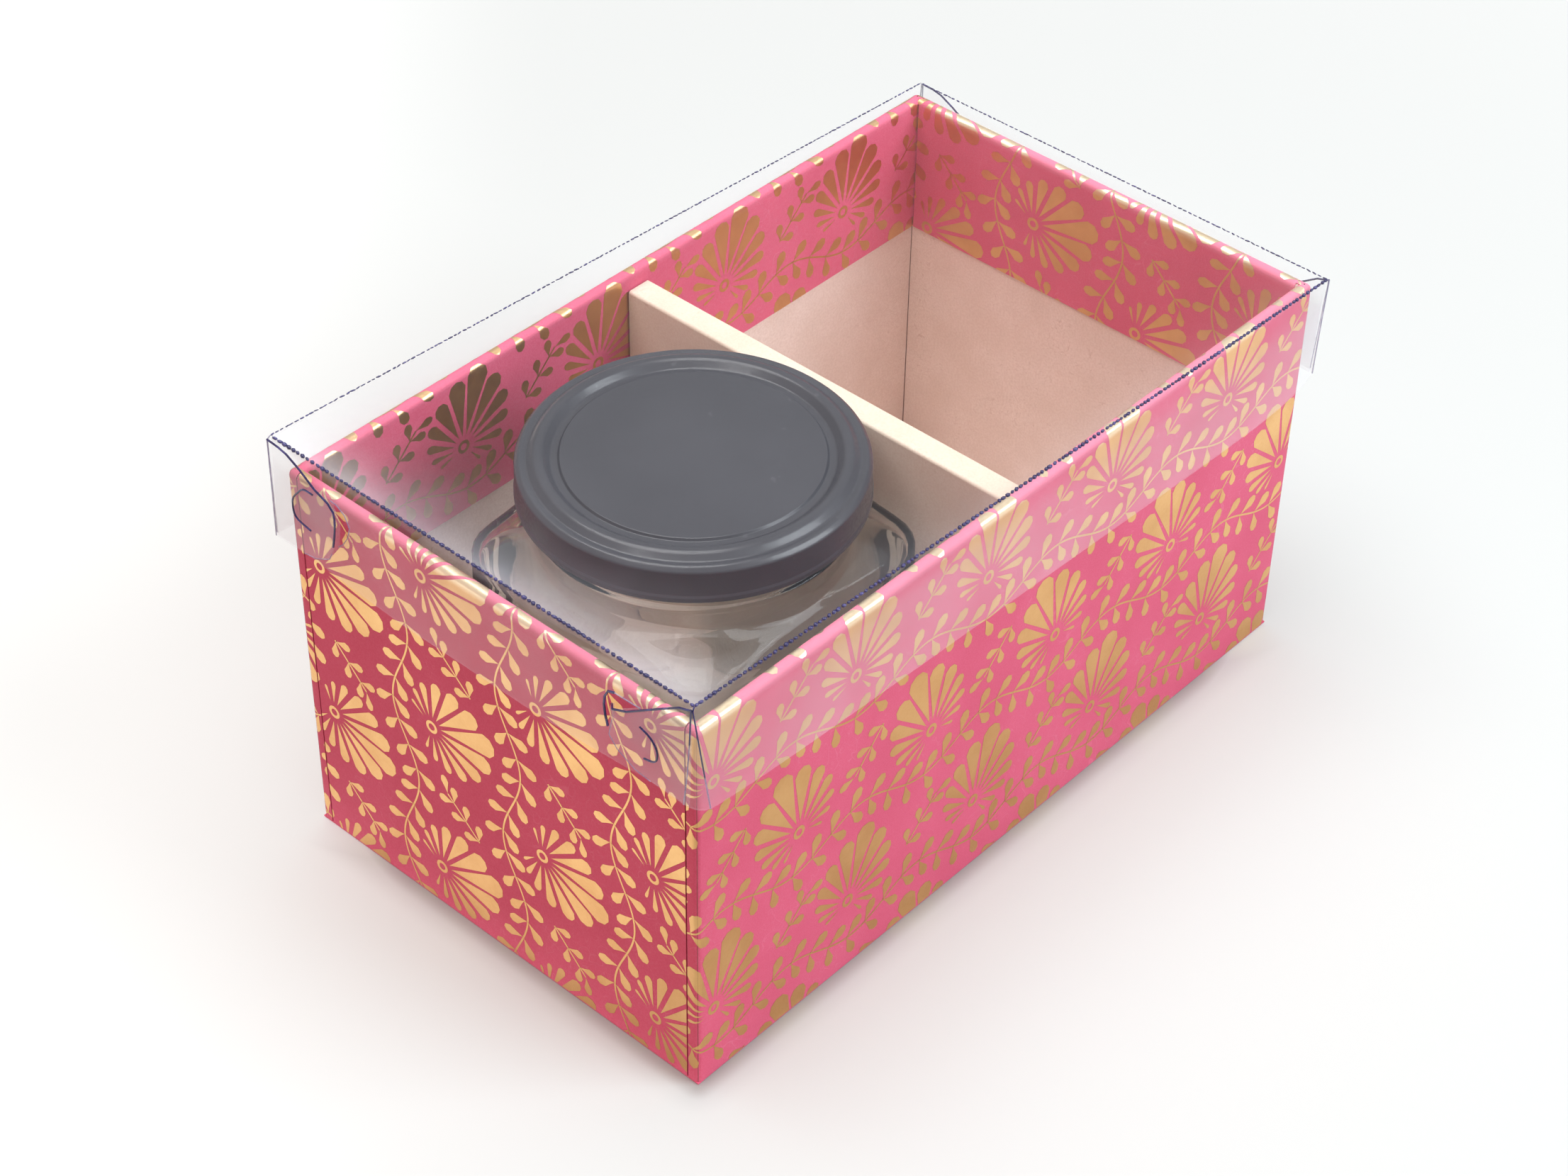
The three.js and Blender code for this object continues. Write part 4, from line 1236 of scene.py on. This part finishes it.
def dashes(bm, start, end, radius):
    start, end = Vector(start), Vector(end)
    along = (end - start).normalized()
    turn = along.to_track_quat("X", "Z").to_matrix().to_4x4()
    at = DASH_END
    while at < (end - start).length - DASH_END:
        size = crease_random.uniform(*DASH_LENGTHS)
        wide = radius * crease_random.uniform(*DASH_WIDTHS)
        lean = Matrix.Rotation(crease_random.uniform(-DASH_LEAN, DASH_LEAN), 4, "Z")
        place = Matrix.Translation(start + along * at) @ turn @ lean @ Matrix.Diagonal((size, wide, wide, 1))
        bmesh.ops.create_icosphere(bm, subdivisions=1, radius=1, matrix=place)
        at += size + crease_random.uniform(*DASH_GAPS)


bend = LID_FOLD * (1 - math.sqrt(0.5))
line_x, line_y, line_z = HALF_LID - bend, HALF_LID_WIDE - bend, LID_SHEET - bend
for side, size in CREASE_SIZES.items():
    dashes(bm, (-line_x, side * line_y, line_z), (line_x, side * line_y, line_z), size)
    dashes(bm, (side * line_x, -line_y, line_z), (side * line_x, line_y, line_z), size)
for x, y in CORNERS.values():
    lock = lock_at((x, y))
    hole = [(x * HALF_LID, y * (HALF_LID_WIDE - along), -depth) for along, depth in lock["slit"]]
    hole = [hang(Vector(point), WRAP) for point in hole]
    thread(bm, hole[1:7], lock["slit_line"], 0 if y < 0 else 1)
    thread(bm, hole[:2], SLIT_TOP, 1)
    near = (x, y) == CORNERS["front_left"]
    upright = [Vector((x * line_x, y * line_y, line_z))]
    for depth in UPRIGHT_DEPTHS:
        bend_start = x * (TONGUE_FACE - corner_round(depth, (x, y)))
        upright.append(hang(Vector((bend_start, y * HALF_LID_WIDE, -depth)), WRAP))
    thread(bm, upright[:4], UPRIGHT_LINE, 0 if near else 1)
    thread(bm, upright[3:], UPRIGHT_LINE, 1)
bm.transform(lid_place)
make_piece("lid_creases", bm, [cut_edge, bend_highlight], "lid", (), 60)

# %% [markdown]
# A tongue runs on from each end of a long skirt, bends round the corner in a cone and tucks its tip into the
# slit. It is drawn flat as well: `along` from where the bend begins, `depth` below the lid. A half-moon cut
# lets it be pulled out. When a tongue swings open its bend has to follow, but here the piece is tied to no
# body and its place is baked into its mesh.

# %% Tongues
TUCK_FROM, TUCK_OVER, TUCK_IN = 20.7, 1.3, 1.6
BEND_SCORES, DEPTH_SCORES, ENDS = 6, (4, 8, 12, 16, 20), (0, SKIRT_DEPTH)
TOP_LINE, TIP_LINE, MOON_LINE, FOLD_LINE, FOLD_LINE_LOW = 0.24, 0.1, 0.22, 0.18, 0.14
FOLD_DEPTHS, LINE_LIFT = (0.2, 9, 17, 24.6), 0.02


def bend_extra(depth, corner):
    return corner_round(depth, corner) * (QUARTER_TURN - 1)


def tongue_point(along, depth, corner, lift=0.0):
    """From flat measures to the lid's own frame: round the cone first, then straight, then in at the slit."""
    side_x, side_y = corner
    bend = corner_round(depth, corner)
    ahead, aside, turn = bend_round(along, bend)
    tuck = TUCK_IN * min(max((aside - TUCK_FROM) / TUCK_OVER, 0), 1)
    out = TONGUE_FACE - bend + ahead + lift * math.sin(turn) - tuck
    across = HALF_LID_WIDE - aside + lift * math.cos(turn)
    return hang(Vector((side_x * out, side_y * across, -depth)), WRAP)


def developed(points, corner):
    return [(along + bend_extra(depth, corner) if along > 0 else 0, depth) for along, depth in points]


def score_down(bm, top, foot):
    """Score a flat tongue from one point of its top to another of its foot."""
    cut_line(bm, (top, 0), (SKIRT_DEPTH, top - foot))


for name, corner in CORNERS.items():
    bm = bmesh.new()
    lock = lock_at(corner)
    fill_outline(bm, developed(lock["top"] + lock["tip"] + TONGUE_FOOT, corner))
    for step in range(1, BEND_SCORES + 1):
        turn = QUARTER_TURN * step / BEND_SCORES
        score_down(bm, *(turn * corner_round(depth, corner) for depth in ENDS))
    for along in (TUCK_FROM, TUCK_FROM + TUCK_OVER / 2, TUCK_FROM + TUCK_OVER):
        score_down(bm, *(along + bend_extra(depth, corner) for depth in ENDS))
    for depth in DEPTH_SCORES:
        cut_climb(bm, depth)
    for vert in bm.verts:
        vert.co = tongue_point(vert.co.x, vert.co.y, corner)
    thicken(bm, LID_SHEET, Vector((corner[0], 0, 0)))
    dark = 1 if name == "front_left" else 2
    fold = [(corner_round(depth, corner) * QUARTER_TURN, depth) for depth in FOLD_DEPTHS]
    moon = [tuple(point) for point in rounded_line(lock["moon"], 4)]
    # finish 1 is the dark cut edge, finish 2 the pale painted highlight along a bend
    for line, radius, finish_index in (
        (developed([(0.1, 0.4), *lock["top"][1:]], corner), TOP_LINE, 1),
        (developed(lock["tip"][1:] + TONGUE_FOOT[:-1], corner), TIP_LINE, 2),
        (developed(moon, corner), MOON_LINE, 1), (fold[:2], FOLD_LINE, dark), (fold[1:], FOLD_LINE_LOW, 2),
    ):
        thread(bm, [tongue_point(*point, corner, LINE_LIFT) for point in line], radius, finish_index)
    write_veil(bm)
    bm.transform(lid_place)
    body = f"{name}_tongue"
    piece = make_piece(
        f"{name}_tongue_sheet", bm, [clear_sheet, cut_edge, bend_highlight], None, [f"lid_{body}"],
    )
    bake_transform(piece)
